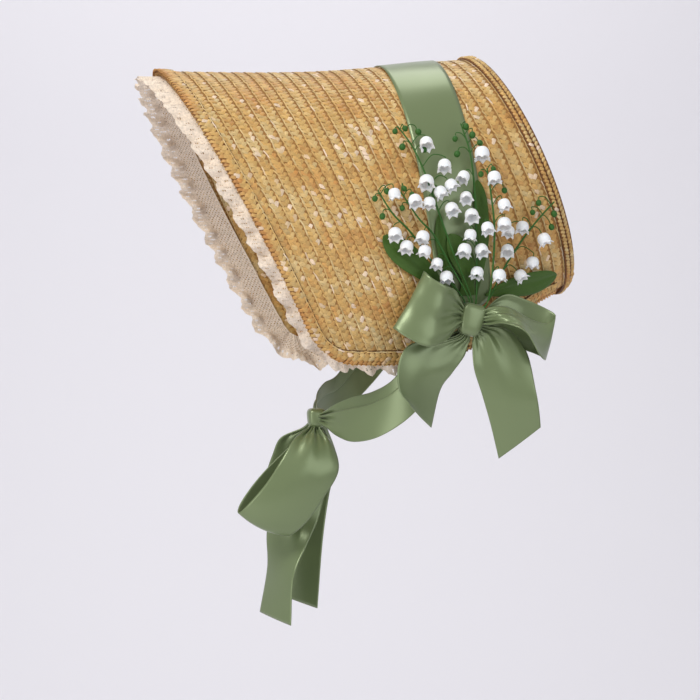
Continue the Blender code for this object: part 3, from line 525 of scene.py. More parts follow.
def material(name, roughness, colour=None, tinted=False, **values):
    """A Principled material; with tinted it takes its colour from the piece's own tint attribute."""
    made = bpy.data.materials.new(name)
    made.use_nodes = True
    shader = made.node_tree.nodes["Principled BSDF"]
    shader.inputs["Roughness"].default_value = roughness
    for key, value in values.items():
        shader.inputs[key.replace("_", " ")].default_value = value
    if colour is not None:
        shader.inputs["Base Color"].default_value = (*linear(colour), 1.0)
    if tinted:
        tint = made.node_tree.nodes.new("ShaderNodeAttribute")
        tint.attribute_name = "tint"
        made.node_tree.links.new(tint.outputs["Color"], shader.inputs["Base Color"])
    return made


def grained(made, scale, strength, distance, stretch=(1.0, 1.0, 1.0), own=True, shade=0.0):
    """Adds noise as a bump, and as light and dark by shade, on the piece's own grain or on the object."""
    nodes, links = made.node_tree.nodes, made.node_tree.links
    shader = nodes["Principled BSDF"]
    place = nodes.new("ShaderNodeTexCoord")
    mapping = nodes.new("ShaderNodeMapping")
    noise = nodes.new("ShaderNodeTexNoise")
    bump = nodes.new("ShaderNodeBump")
    for node, key, value in ((mapping, "Scale", stretch), (noise, "Scale", scale), (noise, "Detail", 3.0),
                             (bump, "Strength", strength), (bump, "Distance", distance)):
        node.inputs[key].default_value = value
    links.new(place.outputs["UV" if own else "Object"], mapping.inputs["Vector"])
    links.new(mapping.outputs["Vector"], noise.inputs["Vector"])
    links.new(noise.outputs["Fac"], bump.inputs["Height"])
    links.new(bump.outputs["Normal"], shader.inputs["Normal"])
    if shade:
        spread = nodes.new("ShaderNodeMapRange")
        for key, value in (("From Min", 0.3), ("From Max", 0.7),
                           ("To Min", 1.0 - shade), ("To Max", 1.0 + shade)):
            spread.inputs[key].default_value = value
        scaled = nodes.new("ShaderNodeVectorMath")
        scaled.operation = "SCALE"
        source = shader.inputs["Base Color"]
        if source.links:
            links.new(source.links[0].from_socket, scaled.inputs[0])
        else:
            scaled.inputs[0].default_value = source.default_value[:3]
        links.new(noise.outputs["Fac"], spread.inputs["Value"])
        links.new(spread.outputs["Result"], scaled.inputs["Scale"])
        links.new(scaled.outputs["Vector"], source)
    return made


def frames(surface, p, q, step=1e-3):
    """Centres, directions along q and across it, and outward normals of a surface of p and q."""
    along = unit(surface(p, q + step) - surface(p, q - step))
    across = surface(p + step, q) - surface(p - step, q)
    normal = unit(np.cross(along, across))
    return surface(p, q), along, np.cross(normal, along), normal


class Splints:
    """Collects straw splints, each a small domed strip, and turns them into one mesh."""

    def __init__(self, settings):
        self.settings = settings
        self.rows = []
        self.random = np.random.default_rng(SEED)

    def row(self, surface, p, q_line, pitch, offset, length, width, angle, lift, dome, keep=None, paler=0.0,
            side=1.0):
        """One row at constant p: splints every pitch along the line of q values, turned by angle."""
        q_line = np.asarray(q_line, float)
        points = surface(np.full(len(q_line), p), q_line)
        run = lengths(points)
        at = np.arange(offset * pitch, run[-1], pitch)
        at = at + self.random.normal(0.0, 0.05, len(at)) * pitch
        q = np.interp(at, run, q_line)
        if keep is not None:
            q = q[keep(p, q)]
        if not len(q):
            return
        count = len(q)
        centre, along, across, normal = frames(surface, np.full(count, p), q)
        vary = self.random.normal(0.0, 1.0, (count, 4))
        turned = angle + ANGLE_VARIES * vary[:, 0]
        cos, sin = np.cos(turned)[:, None], np.sin(turned)[:, None]
        self.rows.append(dict(
            centre=centre + normal * (lift * side), long=along * cos + across * sin,
            wide=across * cos - along * sin, normal=normal * side,
            size=np.stack((length * (1 + SIZE_VARIES * vary[:, 1]), width * (1 + SIZE_VARIES * vary[:, 2]),
                           dome * (1 + DOME_VARIES * vary[:, 3])), -1),
            tone=self.tones(centre, count, paler)))

    def tones(self, centre, count, paler):
        """Straw colours: gold leaning to cream or orange in patches (a sum of waves), a few splints pale."""
        s, random = self.settings, self.random
        x, y, z = centre.T
        wave = (np.sin(y * 95 + 2.1 * np.sin(z * 60)) + np.sin(z * 130 + x * 40)
                + np.sin((y + z) * 260 + 2.0 * np.sin(y * 150)) + 1.2 * random.normal(size=count)) / 2.6
        gold, cream, pink, deep = map(linear, (s.straw_gold, s.straw_cream, s.straw_pink, s.straw_deep))
        to_cream = np.clip(wave * 0.45 + paler, 0.0, 0.9)[:, None]
        to_deep = np.clip(-wave * 0.42 - paler, 0.0, 0.8)[:, None]
        tone = gold + (cream - gold) * to_cream + (deep - gold) * to_deep
        pale = (random.random(count) + 0.10 * wave > 0.95)[:, None] * random.uniform(0.3, 0.8, (count, 1))
        tone = tone + (pink - tone) * pale
        return tone * random.uniform(0.86, 1.12, (count, 1))

    def mesh(self, name, surface, slot, across_count=4, along_count=5):
        """Points c + x l L/2 + y w W/2 + n h, with h = dome (1 - 0.8 y^2) (1 - x^4) + tilt x - tuck x^4."""
        gathered = {key: np.concatenate([row[key] for row in self.rows]) for key in self.rows[0]}
        x = np.repeat(np.linspace(-1, 1, along_count), across_count)
        y = np.tile(np.linspace(-1, 1, across_count), along_count)
        narrow = 1.0 - 0.22 * x**6
        size = gathered["size"]
        high = size[:, 2:] * (1 - 0.8 * y**2) * (1 - x**4) + SPLINT_TILT * x - SPLINT_TUCK * x**4
        points = (gathered["centre"][:, None]
                  + gathered["long"][:, None] * (size[:, :1] / 2 * x)[..., None]
                  + gathered["wide"][:, None] * (size[:, 1:2] / 2 * y * narrow)[..., None]
                  + gathered["normal"][:, None] * high[..., None])
        count, each = points.shape[:2]
        quads = grid_quads(along_count, across_count)[None] + (np.arange(count) * each)[:, None, None]
        facing = np.einsum("ij,ij->i", np.cross(gathered["long"], gathered["wide"]), gathered["normal"])
        quads = np.where((facing < 0)[:, None, None], quads[..., ::-1], quads)
        shift = self.random.random((count, 1)) * 40
        uv = np.stack((size[:, :1] / 2 * x / MM + shift, size[:, 1:2] / 2 * y / MM + shift * 0.7), -1)
        tint = np.repeat(gathered["tone"], each, axis=0)
        self.rows = []
        return piece(name, points.reshape(-1, 3), quads.reshape(-1, 4)[:, ::-1], surface, slot, tint=tint,
                     uv=uv.reshape(-1, 2))


def length_setting(name, description, size, low, high):
    """A length that a user may change, in metres."""
    return bpy.props.FloatProperty(name=name, description=description, default=size, min=low, max=high,
                                   precision=4, unit="LENGTH")


def colour_setting(name, description, *colour):
    """A display colour that a user may change."""
    return bpy.props.FloatVectorProperty(name=name, description=description, default=colour, size=3,
                                         min=0, max=1, subtype="COLOR")


class BonnetSettings(bpy.types.PropertyGroup):
    """Sizes and colours that a user may change before making the pieces again."""

    row_count: bpy.props.IntProperty(name="Straw rows", description="Rows of plait from the front to the tip",
                                     default=26, min=10, max=40)
    splint_length: length_setting("Splint length", "Length of one visible splint", 6.8 * MM, 0.002, 0.01)
    splint_width: length_setting("Splint width", "Width of one visible splint", 3.2 * MM, 0.001, 0.008)
    scallop_pitch: length_setting("Scallop pitch", "Length of one scallop of the lace", 7.0 * MM, 0.004, 0.03)
    mesh_pitch: length_setting("Lace mesh", "Distance between the lace's pin holes", 1.7 * MM, 0.001, 0.004)
    bell_diameter: length_setting("Bell diameter", "Diameter of one lily bell", 9.6 * MM, 0.004, 0.02)
    straw_gold: colour_setting("Gold straw", "Colour of most splints", 0.77, 0.62, 0.36)
    straw_cream: colour_setting("Cream straw", "Colour of the pale splints", 0.82, 0.74, 0.55)
    straw_pink: colour_setting("Pink straw", "Colour of the lightest splints", 0.92, 0.83, 0.75)
    straw_deep: colour_setting("Deep straw", "Colour of the darkest splints", 0.72, 0.48, 0.23)
    sage: colour_setting("Satin", "Colour of the ribbons", 0.45, 0.51, 0.35)
    cream: colour_setting("Lace", "Colour of the lace", 0.91, 0.85, 0.78)
    leaf: colour_setting("Leaves", "Colour of the leaves", 0.25, 0.37, 0.12)
    stem: colour_setting("Stems", "Colour of the stems and buds", 0.19, 0.37, 0.13)
    bell: colour_setting("Bells", "Colour of the lily bells", 0.97, 0.97, 0.97)
    backdrop: colour_setting("Backdrop", "Colour of the floor and the wall", 0.915, 0.91, 0.93)


def straw_surface(name):
    """Straw with long grain, in the colour of each splint."""
    made = material(name, 0.5, tinted=True)
    return grained(made, 1.0, 0.35, 0.15 * MM, (0.25, 2.2, 1.0), shade=0.26)


def shell_keep(margin):
    """Keeps splints inside the shell's cut edge by this margin."""
    def keep(share, turn):
        limit = edge_turn(share, corner_drop(share))
        reach = SHELL_DEPTH * column(share, "rounding")
        return np.abs(turn) < limit - margin / reach
    return keep


def base_sheet(name, surface, outer, inner, rows, columns):
    """The smooth straw core under the plait: a closed wall between two lifts of the shell."""
    along, drop, _ = corner_stations(12)
    share = np.concatenate((along / SHELL_LENGTH, np.linspace(CORNER_RADIUS / SHELL_LENGTH, 1.0, rows)[1:]))
    drop = np.concatenate((drop, np.zeros(rows - 1)))
    turn = edge_turn(share, drop)[:, None] * np.linspace(-1.0, 1.0, columns)[None]
    points = skin(share[:, None], turn, outer)
    quads = grid_quads(*points.shape[:2])
    made = piece(name, points.reshape(-1, 3), quads, surface, "straw", ["straw_shell"])
    return wall(made, outer - inner, -1.0)


class BONNET_OT_straw(bpy.types.Operator):
    """Makes the plaited straw of the shell and of its tip"""

    bl_idname = "bonnet.straw"
    bl_label = "Straw plait"

    def execute(self, context):
        s = context.scene.bonnet
        # The core's straw brown, darkened as painted shade where it shows in the gaps between splints and
        # rows; the tip's core shares it.
        core = material("straw_core", 0.8, (0.60, 0.43, 0.22))
        core = grained(core, 900.0, 0.6, 0.4 * MM, own=False, shade=0.3)
        straw = straw_surface("straw_splints")
        base_sheet("straw_core_wall", core, -0.1 * MM, -STRAW_THICK + 0.1 * MM, 60, 161)
        pitch = 1.0 / s.row_count
        keep = shell_keep(1.5 * MM)
        splints = Splints(s)
        thirds = [k * s.row_count // 3 for k in range(4)]
        for label, surface, side, counts in (("plait", bare, 1.0, (4, 5)),
                                             ("lining", inner_skin, -1.0, (3, 4))):
            for part, first, last in zip(("front", "middle", "back"), thirds[:-1], thirds[1:]):
                for row in range(first, last):
                    self.plait_row(splints, s, surface, row, pitch, keep, side)
                splints.mesh(f"straw_{label}_{part}", straw, "straw", *counts)
        self.tip(s, core, straw)
        return {"FINISHED"}

    @staticmethod
    def plait_row(splints, s, surface, row, pitch, keep, side):
        """Two columns of crossing splints, then the ridge straw along the front of the row."""
        p0 = row * pitch
        limit = edge_turn(min(p0 + pitch, 1.0))
        q = np.linspace(-limit, limit, 400)
        shift = 0.37 * row % 1.0
        crossing = s.splint_width * CROSSING_PITCH
        ridge = s.splint_length * RIDGE_PITCH
        splint = (s.splint_length, s.splint_width)
        straw = (s.splint_length * 1.35, RIDGE_WIDTH)
        for place, step, ahead, size, angle, lift, dome, paler in (
                (0.67, crossing, 0.5, splint, -CROSSING_ANGLE, 0.0, 0.42 * MM, 0.0),
                (0.34, crossing, 0.0, splint, CROSSING_ANGLE, 0.10 * MM, 0.44 * MM, 0.0),
                (0.09, ridge, 0.0, straw, RIDGE_ANGLE, 0.26 * MM, 0.34 * MM, 0.25)):
            p = min(p0 + place * pitch, LAST_SHARE)
            splints.row(surface, p, q, step, shift + ahead, *size, angle, lift, dome, keep, paler, side)

    @staticmethod
    def tip(s, core, straw):
        """The tip: oval rows on a shallow dome, closed against the shell and, below it, the braid."""
        ring = np.linspace(-math.pi, math.pi, 241)[:-1]
        past = np.clip((np.abs(ring) - float(edge_turn(1.0))) / 0.05, 0.0, 1.0)
        rim = skin(1.0, ring, past * TRIM_LIFT - (1.0 - past) * STRAW_THICK / 2)
        closed = np.vstack((rim, rim[:1]))
        run = lengths(closed)
        middle = rim.mean(axis=0)
        lean = SHELL_LEAN * float(column(1.0, "lean"))
        back = np.array((0.0, math.cos(lean), math.sin(lean)))

        def dome(lift):
            def surface(size, q):
                """Rim points drawn towards the middle by size, raised by the dome's d (1 - size^2)."""
                at = np.mod(q, 1.0) * run[-1]
                point = np.stack([np.interp(at, run, closed[:, i]) for i in range(3)], -1)
                size = np.asarray(size, float)[..., None]
                return middle + (point - middle) * size + back * (TIP_DOME * (1 - size**2) + lift)
            return surface

        size, q = np.meshgrid(np.linspace(1.0, 0.02, 20), np.arange(160) / 160, indexing="ij")
        points = dome(TIP_CORE_THICK / 2)(size, q).reshape(-1, 3)
        quads = grid_quads(20, 160, closed=True)
        hub = len(points)
        points = np.vstack((points, points[-160:].mean(axis=0)))
        last = np.arange(160) + 19 * 160
        fan = np.stack((last, np.roll(last, -1), np.full(160, hub), np.full(160, hub)), -1)
        faces = quads.tolist() + fan[:, :3].tolist()
        made = piece("tip_core", points, np.array(faces, dtype=object), core, "straw", ["crown_tip"])
        wall(made, TIP_CORE_THICK, 0.0)
        splints = Splints(s)
        turns = np.linspace(0.0, 1.0, 600)
        for side in (1.0, -1.0):
            surface = dome(TIP_CORE_THICK / 2 + side * 0.9 * MM)
            for row in range(TIP_ROWS):
                for place, angle, long, wide, high in (
                        (0.90, 0.1, s.splint_length * 1.4, 1.25 * MM, 0.35 * MM),
                        (0.62, 0.72, s.splint_length, s.splint_width, 0.05 * MM),
                        (0.28, -0.72, s.splint_length, s.splint_width, 0.0)):
                    p = 1.0 - (row + 1.0 - place) / TIP_ROWS
                    splints.row(surface, p, turns, s.splint_length * 0.86, 0.3 * row, long, wide, angle, high,
                                0.45 * MM, side=side)
            splints.mesh("tip_plait_outside" if side > 0 else "tip_plait_inside", straw, "straw")


def inner_skin(share, turn):
    """The inner face of the straw wall."""
    return skin(share, turn, -STRAW_THICK)


def tube(points, radius, sides, hint):
    """Rings round a line of points, r (cos a u + sin a v), with caps drawn to a point at each end."""
    radius = np.broadcast_to(radius, len(points)).astype(float)
    tangent = unit(np.gradient(points, axis=0))
    u = unit(np.cross(tangent, hint))
    ring = circle(u, np.cross(tangent, u), sides)
    body = points[:, None] + ring * radius[:, None, None]
    closed = np.concatenate((points[:1, None] + 0 * ring[:1], body, points[-1:, None] + 0 * ring[-1:]))
    return closed.reshape(-1, 3), grid_quads(len(points) + 2, sides, closed=True)


def joined(parts):
    """One array of points and one of quads from several."""
    points, quads, start = [], [], 0
    for part_points, part_quads in parts:
        points.append(part_points)
        quads.append(part_quads + start)
        start += len(part_points)
    return np.concatenate(points), np.concatenate(quads)


def strip_base(name, surface_points, surface, slot, nodes):
    """A closed tube through rings of a trim's profile, closed at both ends."""
    rings, sides = surface_points.shape[:2]
    ends = [np.broadcast_to(surface_points[k].mean(axis=0), (1, sides, 3)) for k in (0, -1)]
    points = np.concatenate((ends[0], surface_points, ends[1]))
    return piece(name, points.reshape(-1, 3), grid_quads(rings + 2, sides, closed=True), surface, slot, nodes)


class BONNET_OT_trims(bpy.types.Operator):
    """Makes the plaited braid round the free edge and the double braid round the tip"""

    bl_idname = "bonnet.trims"
    bl_label = "Straw braids"

    def execute(self, context):
        s = context.scene.bonnet
        # The braid core's straw brown, darkened as painted shade where it shows between and beside the
        # splints.
        core = material("braid_core", 0.8, (0.50, 0.32, 0.14))
        core = grained(core, 900.0, 0.6, 0.3 * MM, own=False, shade=0.3)
        # Dark straw brown for the thin tubes laid along the seams and the rim's groove: painted shadow lines.
        dark = material("seam_shadow_straw", 0.7, (0.36, 0.22, 0.11))
        straw = straw_surface("braid_splints")
        rim_share = 1.0 - RIM_BRAID_WIDTH / SHELL_LENGTH
        line = edge_line(rim_share - EDGE_BRAID_STOP / SHELL_LENGTH)
        total = line[1][-1]
        inner = EDGE_BRAID_WIDTH - EDGE_OVERHANG
        along = np.linspace(0.0, total, 500)
        profile = ((-0.5 * MM, 0.0), (-0.5 * MM, TRIM_LIFT + 0.6 * MM), (0.4 * inner, TRIM_LIFT + 0.9 * MM),
                   (inner - 0.5 * MM, TRIM_LIFT + 0.3 * MM), (inner - 0.5 * MM, 0.0))
        rings = np.stack([beside_edge(line, along, reach, lift) for reach, lift in profile], 1)
        strip_base("edge_braid_core", rings, core, "straw_edge", ["edge_braid"])

        def braid(reach, q):
            """The braid's face, swollen in the middle, measured from the far end of the edge."""
            swell = np.sin(np.clip((reach + EDGE_OVERHANG) / EDGE_BRAID_WIDTH, 0.0, 1.0) * math.pi)
            return beside_edge(line, total - q, reach, TRIM_LIFT + (0.3 + 0.5 * swell) * MM)

        def side(reach, q):
            """The braid's outer side, standing on the straw's edge."""
            return beside_edge(line, total - q, -0.4 * MM, TRIM_LIFT + 0.1 * MM - reach)

        splints = Splints(s)
        q = np.linspace(0.002, total - 0.002, 900)
        # Columns of splints across the braid, lengths in millimetres
        for reach, pitch, angle, shift, width, long, lift, paler in (
                (8.0, 4.2, -0.80, 0.5, 3.2, 6.4, 0.0, 0.05), (4.6, 4.2, 0.80, 0.0, 3.2, 6.4, 0.1, 0.0),
                (1.3, 3.5, 0.95, 0.3, 2.5, 4.8, 0.35, -0.35), (10.5, 5.6, 0.05, 0.2, 1.0, 8.8, 0.1, 0.35)):
            splints.row(braid, reach * MM, q, pitch * MM, shift, long * MM, width * MM, angle, lift * MM,
                        0.5 * MM, None, paler)
        splints.row(side, 0.3 * MM, q, 3.5 * MM, 0.3, 3.4 * MM, 2.0 * MM, 0.9, 0.0, 0.3 * MM, None, -0.15)
        splints.mesh("edge_plait", straw, "straw_edge")
        # A thin dark tube along the braid's inner edge: painted shadow of the seam between the braid and the
        # plait.
        seam = beside_edge(line, along, inner + 0.3 * MM, 0.45 * MM)
        piece("edge_seam_painted_shadow", *tube(seam, 0.42 * MM, 6, np.array((0.0, 0.3, 1.0))), dark, "straw_edge")

        ring = np.linspace(-math.pi, math.pi, 361)
        half_way = (1 + rim_share) / 2
        rim_profile = ((rim_share, 0.0), (rim_share, 1.0 * MM), (half_way, 1.3 * MM), (1.0, 1.2 * MM),
                       (1.0, 0.0))
        rings = np.stack([skin(share, ring, TRIM_LIFT + lift) for share, lift in rim_profile], 1)
        quads = wrapped(len(ring), len(rim_profile))
        piece("tip_rim_core", rings[:-1].reshape(-1, 3), quads, core, "straw_edge", ["tip_rim_braid"])

        def rim(p, q):
            """The rim's face at a share past its inner edge."""
            return skin(p, q, TRIM_LIFT + 1.0 * MM)

        for at, angle in ((0.25, 0.66), (0.76, -0.66)):
            place = rim_share + at * (1 - rim_share)
            splints.row(rim, place, ring, 3.3 * MM, at, 5.0 * MM, 2.5 * MM, angle, 0.0, 1.5 * MM, None, 0.1)
        splints.mesh("tip_rim_plait", straw, "straw_edge")
        # Thin dark tubes at the rim's outer edge, in its middle groove and along its inner seam: painted
        # shade lines.
        for name, share, lift, radius in (("tip_rim_edge_shadow", 1.0, TRIM_LIFT + 0.4 * MM, 0.75 * MM),
                                          ("tip_rim_groove_shadow", half_way, 2.1 * MM, 0.45 * MM),
                                          ("tip_rim_seam_shadow", rim_share, 0.6 * MM, 0.6 * MM)):
            piece(name, *ring_tube(skin(share, ring[:-1], lift), radius, 8), dark, "straw_edge")
        return {"FINISHED"}


def wrapped(rings, sides):
    """Quads of a closed grid whose last ring is its first, by taking indices modulo the count."""
    return grid_quads(rings, sides, closed=True) % ((rings - 1) * sides)


def circle(u, v, sides):
    """Directions round a circle in the planes of u and v, cos a u + sin a v."""
    angle = (np.arange(sides) * 2 * math.pi / sides)[None, :, None]
    return np.cos(angle) * u[:, None] + np.sin(angle) * v[:, None]


def ring_tube(points, radius, sides):
    """A closed ring of tube through a closed line of points."""
    tangent = unit(np.roll(points, -1, axis=0) - np.roll(points, 1, axis=0))
    out = unit(points - points.mean(axis=0))
    u = unit(out - tangent * np.sum(out * tangent, axis=-1, keepdims=True))
    body = points[:, None] + radius * circle(u, np.cross(tangent, u), sides)
    return body.reshape(-1, 3), wrapped(len(points) + 1, sides)


class BONNET_OT_lace(bpy.types.Operator):
    """Makes the gathered lace with its pin holes and scallops inside the front and lower edges"""

    bl_idname = "bonnet.lace"
    bl_label = "Lace ruffle"

    def execute(self, context):
        s = context.scene.bonnet
        line = edge_line(LACE_END)
        total = line[1][-1]
        columns = int(total / s.mesh_pitch)
        rows = int((LACE_INSIDE + LACE_SHOWN) / s.mesh_pitch) + 1
        f = np.linspace(0.0, 1.0, rows + 1)
        f, along = np.meshgrid(f, np.linspace(0.0, total, columns + 1), indexing="ij")
        turns = 2 * math.pi * along
        gathers = round(total / GATHER_PITCH)

        def waves(pitches, shift=0.0):
            """A wave along the edge, its length in scallops."""
            return np.sin(turns / (pitches * s.scallop_pitch) + shift)

        drift = along + 1.5 * MM * waves(7.3) + 0.8 * MM * waves(3.1)
        scallop = np.abs(np.sin(math.pi * drift / s.scallop_pitch)) ** 0.7
        gather = np.sin(turns * gathers / total + 0.7 * waves(9.7))
        ruffle = 0.62 * gather + 0.38 * waves(0.93, 2.0 * waves(4.3))
        outer = np.clip((f - 0.42) / 0.58, 0.0, 1.0)
        picot = 0.45 * MM * (np.arange(columns + 1) % 2)[None] * (f > 0.97)
        tuck = 1.0 - LACE_TUCK * np.clip(np.cos(np.interp(along, line[1], line[0][1])), 0.0, 1.0)
        reach = LACE_INSIDE - f * (LACE_INSIDE + LACE_SHOWN - 1.5 * MM * (1 - scallop)) - picot
        reach = np.minimum(reach, reach * tuck) + (0.6 + 1.9 * gather + 0.5 * ruffle) * MM * f**2
        puff = np.sin(math.pi * np.clip((f - 0.60) / 0.40, 0.0, 1.0)) * (0.5 + 0.5 * gather)
        lift = -(STRAW_THICK + 1.5 * MM + 0.7 * MM * (1 + ruffle) + 2.6 * MM * outer**1.3 * (1 + ruffle)
                 + 2.6 * MM * puff - 0.5 * MM * outer * scallop)
        points = beside_edge(line, along, reach, lift)
        c00, c01, c11, c10 = points[:-1, :-1], points[:-1, 1:], points[1:, 1:], points[1:, :-1]
        corners = np.stack((c00, c01, c11, c10), 2)
        r, c = np.meshgrid(np.arange(rows), np.arange(columns), indexing="ij")
        share = (r + 0.5) / rows
        place = (c + 0.5) / columns * total / s.scallop_pitch % 1.0
        mesh_zone = (share > MESH_ZONE[0]) & (share < MESH_ZONE[1]) & ((r + c) % 2 == 0)
        fan = np.abs((share - 0.66) - FAN_RISE * np.sin(place * math.pi)) < 0.06
        fan_zone = (share > FAN_ZONE[0]) & (share < FAN_ZONE[1]) & (c % 2 == 0)
        open_ = mesh_zone | (fan & fan_zone)
        grid = grid_quads(rows + 1, columns + 1).reshape(rows, columns, 4)
        middle = corners.mean(axis=2, keepdims=True)
        spread = np.random.default_rng(SEED + 2).uniform(*HOLE_OPEN, (rows, columns))
        inner = middle + (corners - middle) * spread[..., None, None]
        base = points.reshape(-1, 3)
        holes = inner[open_].reshape(-1, 3)
        start = len(base) + 4 * np.arange(int(open_.sum()))[:, None] + np.arange(4)[None]
        rims = grid[open_]
        sides = [np.stack((rims[:, k], rims[:, k - 3], start[:, k - 3], start[:, k]), -1) for k in range(4)]
        quads = np.concatenate([grid[~open_]] + sides)
        thread = material("cotton_lace", 0.9, s.cream, Subsurface_Weight=0.0)
        thread = grained(thread, 700.0, 0.9, 0.35 * MM, own=False, shade=0.16)
        points = np.concatenate((base, holes))
        made = piece("lace_frill", points, quads, thread, "cream_lace", ["lace_ruffle"])
        return {"FINISHED"}


def satin_surface(colour):
    """Satin: a soft sheen with a fine cross weave."""
    made = material("satin_weave", 0.30, colour, Metallic=0.30, Sheen_Weight=0.10, Sheen_Roughness=0.5,
                    Anisotropic=0.4, Specular_IOR_Level=0.7)
    return grained(made, 900.0, 0.04, 0.05 * MM, (1.0, 12.0, 1.0), own=False)


def satin_sheet(name, grid, surface, nodes):
    """A satin sheet on a grid of rows by columns."""
    quads = grid_quads(*grid.shape[:2])
    made = piece(name + "_satin", grid.reshape(-1, 3), quads, surface, "sage_satin", nodes)
    wall(made, RIBBON_THICK, 0.0)
    middle = grid[:, grid.shape[1] // 2]
    length = float(np.linalg.norm(np.diff(middle, axis=0), axis=1).sum())
    return made


def ribbon(name, table, span, centre, knots, surface, folds=0.0, swell=0.05, columns=29):
    """Rows c + x h + n (swell (1 - x^2) + pleats near the knots), x doubling back where it is lapped."""
    table = np.array(table)
    fine = spline(np.hstack((table[:, :3] * np.array(span), table[:, 3:] * RIBBON_WIDTH)), 110)
    middle, half = fine[:, None, :3] + np.array(centre), fine[:, None, 3:]
    x = np.linspace(-1.0, 1.0, columns)[None, :, None]
    raised = unit(np.cross(np.gradient(fine[:, :3], axis=0)[:, None], half))
    wide = np.linalg.norm(half, axis=-1, keepdims=True)
    away = [np.linalg.norm(middle - np.array(k), axis=-1, keepdims=True) for k in knots]
    near = sum(np.exp(-(d / NEAR_FALL)**2) for d in away)
    soft = sum(np.exp(-(d / SOFT_FALL)**2) for d in away)
    pleats = (2.1 * MM * near * np.cos(5.0 * math.pi * x + 0.6)
              + 1.2 * MM * soft * np.cos(2.2 * math.pi * x + 1.1))
    if folds:
        lapped = np.tanh((x + 0.3) / 0.1)
        pleats = pleats + folds * lapped * (1.0 - near)
        half = half * (x - 0.22 * lapped) / 0.78
    else:
        half = half * x
    grid = middle + half + raised * (swell * wide * (1 - x**2) + pleats)
    return satin_sheet(name, grid, surface, [name])


def knot(name, centre, half, turn, surface):
    """A wrapped knot: a ball squared by a power, wider at its top, with slight folds around it."""
    b = np.linspace(-math.pi / 2, math.pi / 2, 33)
    b, a = np.meshgrid(b, np.arange(48) * 2 * math.pi / 48, indexing="ij")
    ball = np.stack((np.cos(b) * np.cos(a), np.cos(b) * np.sin(a), np.sin(b)), -1)
    ball = np.sign(ball) * np.abs(ball) ** KNOT_POWER
    ball[..., 1] *= 1.0 + 0.10 * ball[..., 2]
    ball = ball * (1 + 0.012 * np.cos(4 * a + 2 * b) + 0.010 * np.cos(9 * a + b) * np.cos(b))[..., None]
    tilt = np.array(Matrix.Rotation(turn, 3, "X"))
    points = (ball * np.array(half)) @ tilt.T + np.array(centre)
    quads = grid_quads(*b.shape, closed=True)
    return piece(name + "_wrap", points.reshape(-1, 3), quads, surface, "sage_satin", [name])


class BONNET_OT_ribbons(bpy.types.Operator):
    """Makes the satin band, the side bow, the chin ties and their bow"""

    bl_idname = "bonnet.ribbons"
    bl_label = "Satin ribbons"

    def execute(self, context):
        s = context.scene.bonnet
        satin = satin_surface(s.sage)
        turn = np.linspace(-BAND_END, BAND_END, 161)[:, None]
        offset = np.linspace(-0.5, 0.5, 15)[None] * RIBBON_WIDTH
        lift = 1.35 * MM + 0.12 * MM * np.sin(turn * 9 + offset * 90)
        band = skin(band_share(turn + 0 * offset, offset + 0 * turn), turn, lift)
        satin_sheet("ribbon_band", band, satin, ["ribbon_band"])
        bow = skin(*locate(BOW_Y, BOW_Z)) + np.array((BOW_LIFT, 0.0, 0.0))
        cube = (RIBBON_WIDTH,) * 3
        knot("bow_knot", bow, BOW_KNOT_HALF, math.radians(-14.0), satin)
        knot("chin_knot", CHIN_CENTRE, CHIN_KNOT_HALF, 0.0, satin)
        for name, table, centre, holder in (
                ("bow_loop_left", LOOP_LEFT, bow, "bow_knot"),
                ("bow_loop_right", LOOP_RIGHT, bow, "bow_knot"),
                ("bow_tail_left", TAIL_LEFT, bow, "bow_knot"),
                ("bow_tail_right", TAIL_RIGHT, bow, "bow_knot"),
                ("chin_loop_near", CHIN_LOOP_NEAR, CHIN_CENTRE, "chin_knot"),
                ("chin_loop_far", CHIN_LOOP_FAR, CHIN_CENTRE, "chin_knot"),
                ("chin_tail_near", CHIN_TAIL_NEAR, CHIN_CENTRE, "chin_knot"),
                ("chin_tail_far", CHIN_TAIL_FAR, CHIN_CENTRE, "chin_knot")):
            held = "folded" if "loop" in name else "hung"
            ribbon(name, table, cube, centre, [centre], satin,
                   swell=0.16 if "chin_loop" in name else 0.05)
        ribbon("chin_tie_near", TIE_NEAR, bow - CHIN_CENTRE, CHIN_CENTRE, [bow, CHIN_CENTRE], satin,
               TIE_FOLD, columns=49)
        turn = edge_turn(FAR_ANCHOR, EDGE_BRAID_WIDTH / 2)
        lift = TRIM_LIFT + BRAID_THICK + 0.7 * MM + 0.5 * MM
        far = skin(FAR_ANCHOR, -turn, lift) - CHIN_CENTRE
        run = skin(FAR_ANCHOR + 0.01, -turn, lift) - skin(FAR_ANCHOR - 0.01, -turn, lift)
        table = np.vstack((TIE_FAR, (1.0, 1.0, 1.0, *(run * FAR_GATHER / np.linalg.norm(run)))))
        ribbon("chin_tie_far", table, far, CHIN_CENTRE, [CHIN_CENTRE], satin,
               TIE_FOLD, columns=49)
        return {"FINISHED"}


def bell_rings():
    """One bell of radius 1 and height 1, hanging down: a globe with six pointed tips flared at the mouth."""
    radius = np.array((0.02, 0.38, 0.68, 0.88, 0.98, 1.00, 0.95, 0.88, 0.90, 1.04, 1.22))
    height = np.array((0.00, 0.02, 0.09, 0.22, 0.40, 0.56, 0.69, 0.78, 0.85, 0.92, 0.96))
    angle = np.arange(24) * 2 * math.pi / 24
    lobe = (0.5 + 0.5 * np.cos(6 * angle)) ** 1.5
    reach = np.clip((height - 0.78) / 0.18, 0.0, 1.0)[:, None]
    r = radius[:, None] * (1 - 0.16 * reach * (1 - lobe)[None])
    h = height[:, None] - 0.17 * reach * (1 - lobe)[None] + 0.05 * reach * lobe[None]
    r, h = np.vstack((r, r[::-1] * 0.90)), np.vstack((h, np.maximum(h[::-1] - 0.02, 0.06)))
    points = np.stack((r * np.cos(angle), r * np.sin(angle), -h), -1)
    return points.reshape(-1, 3), grid_quads(len(r), 24, closed=True)[:, ::-1]


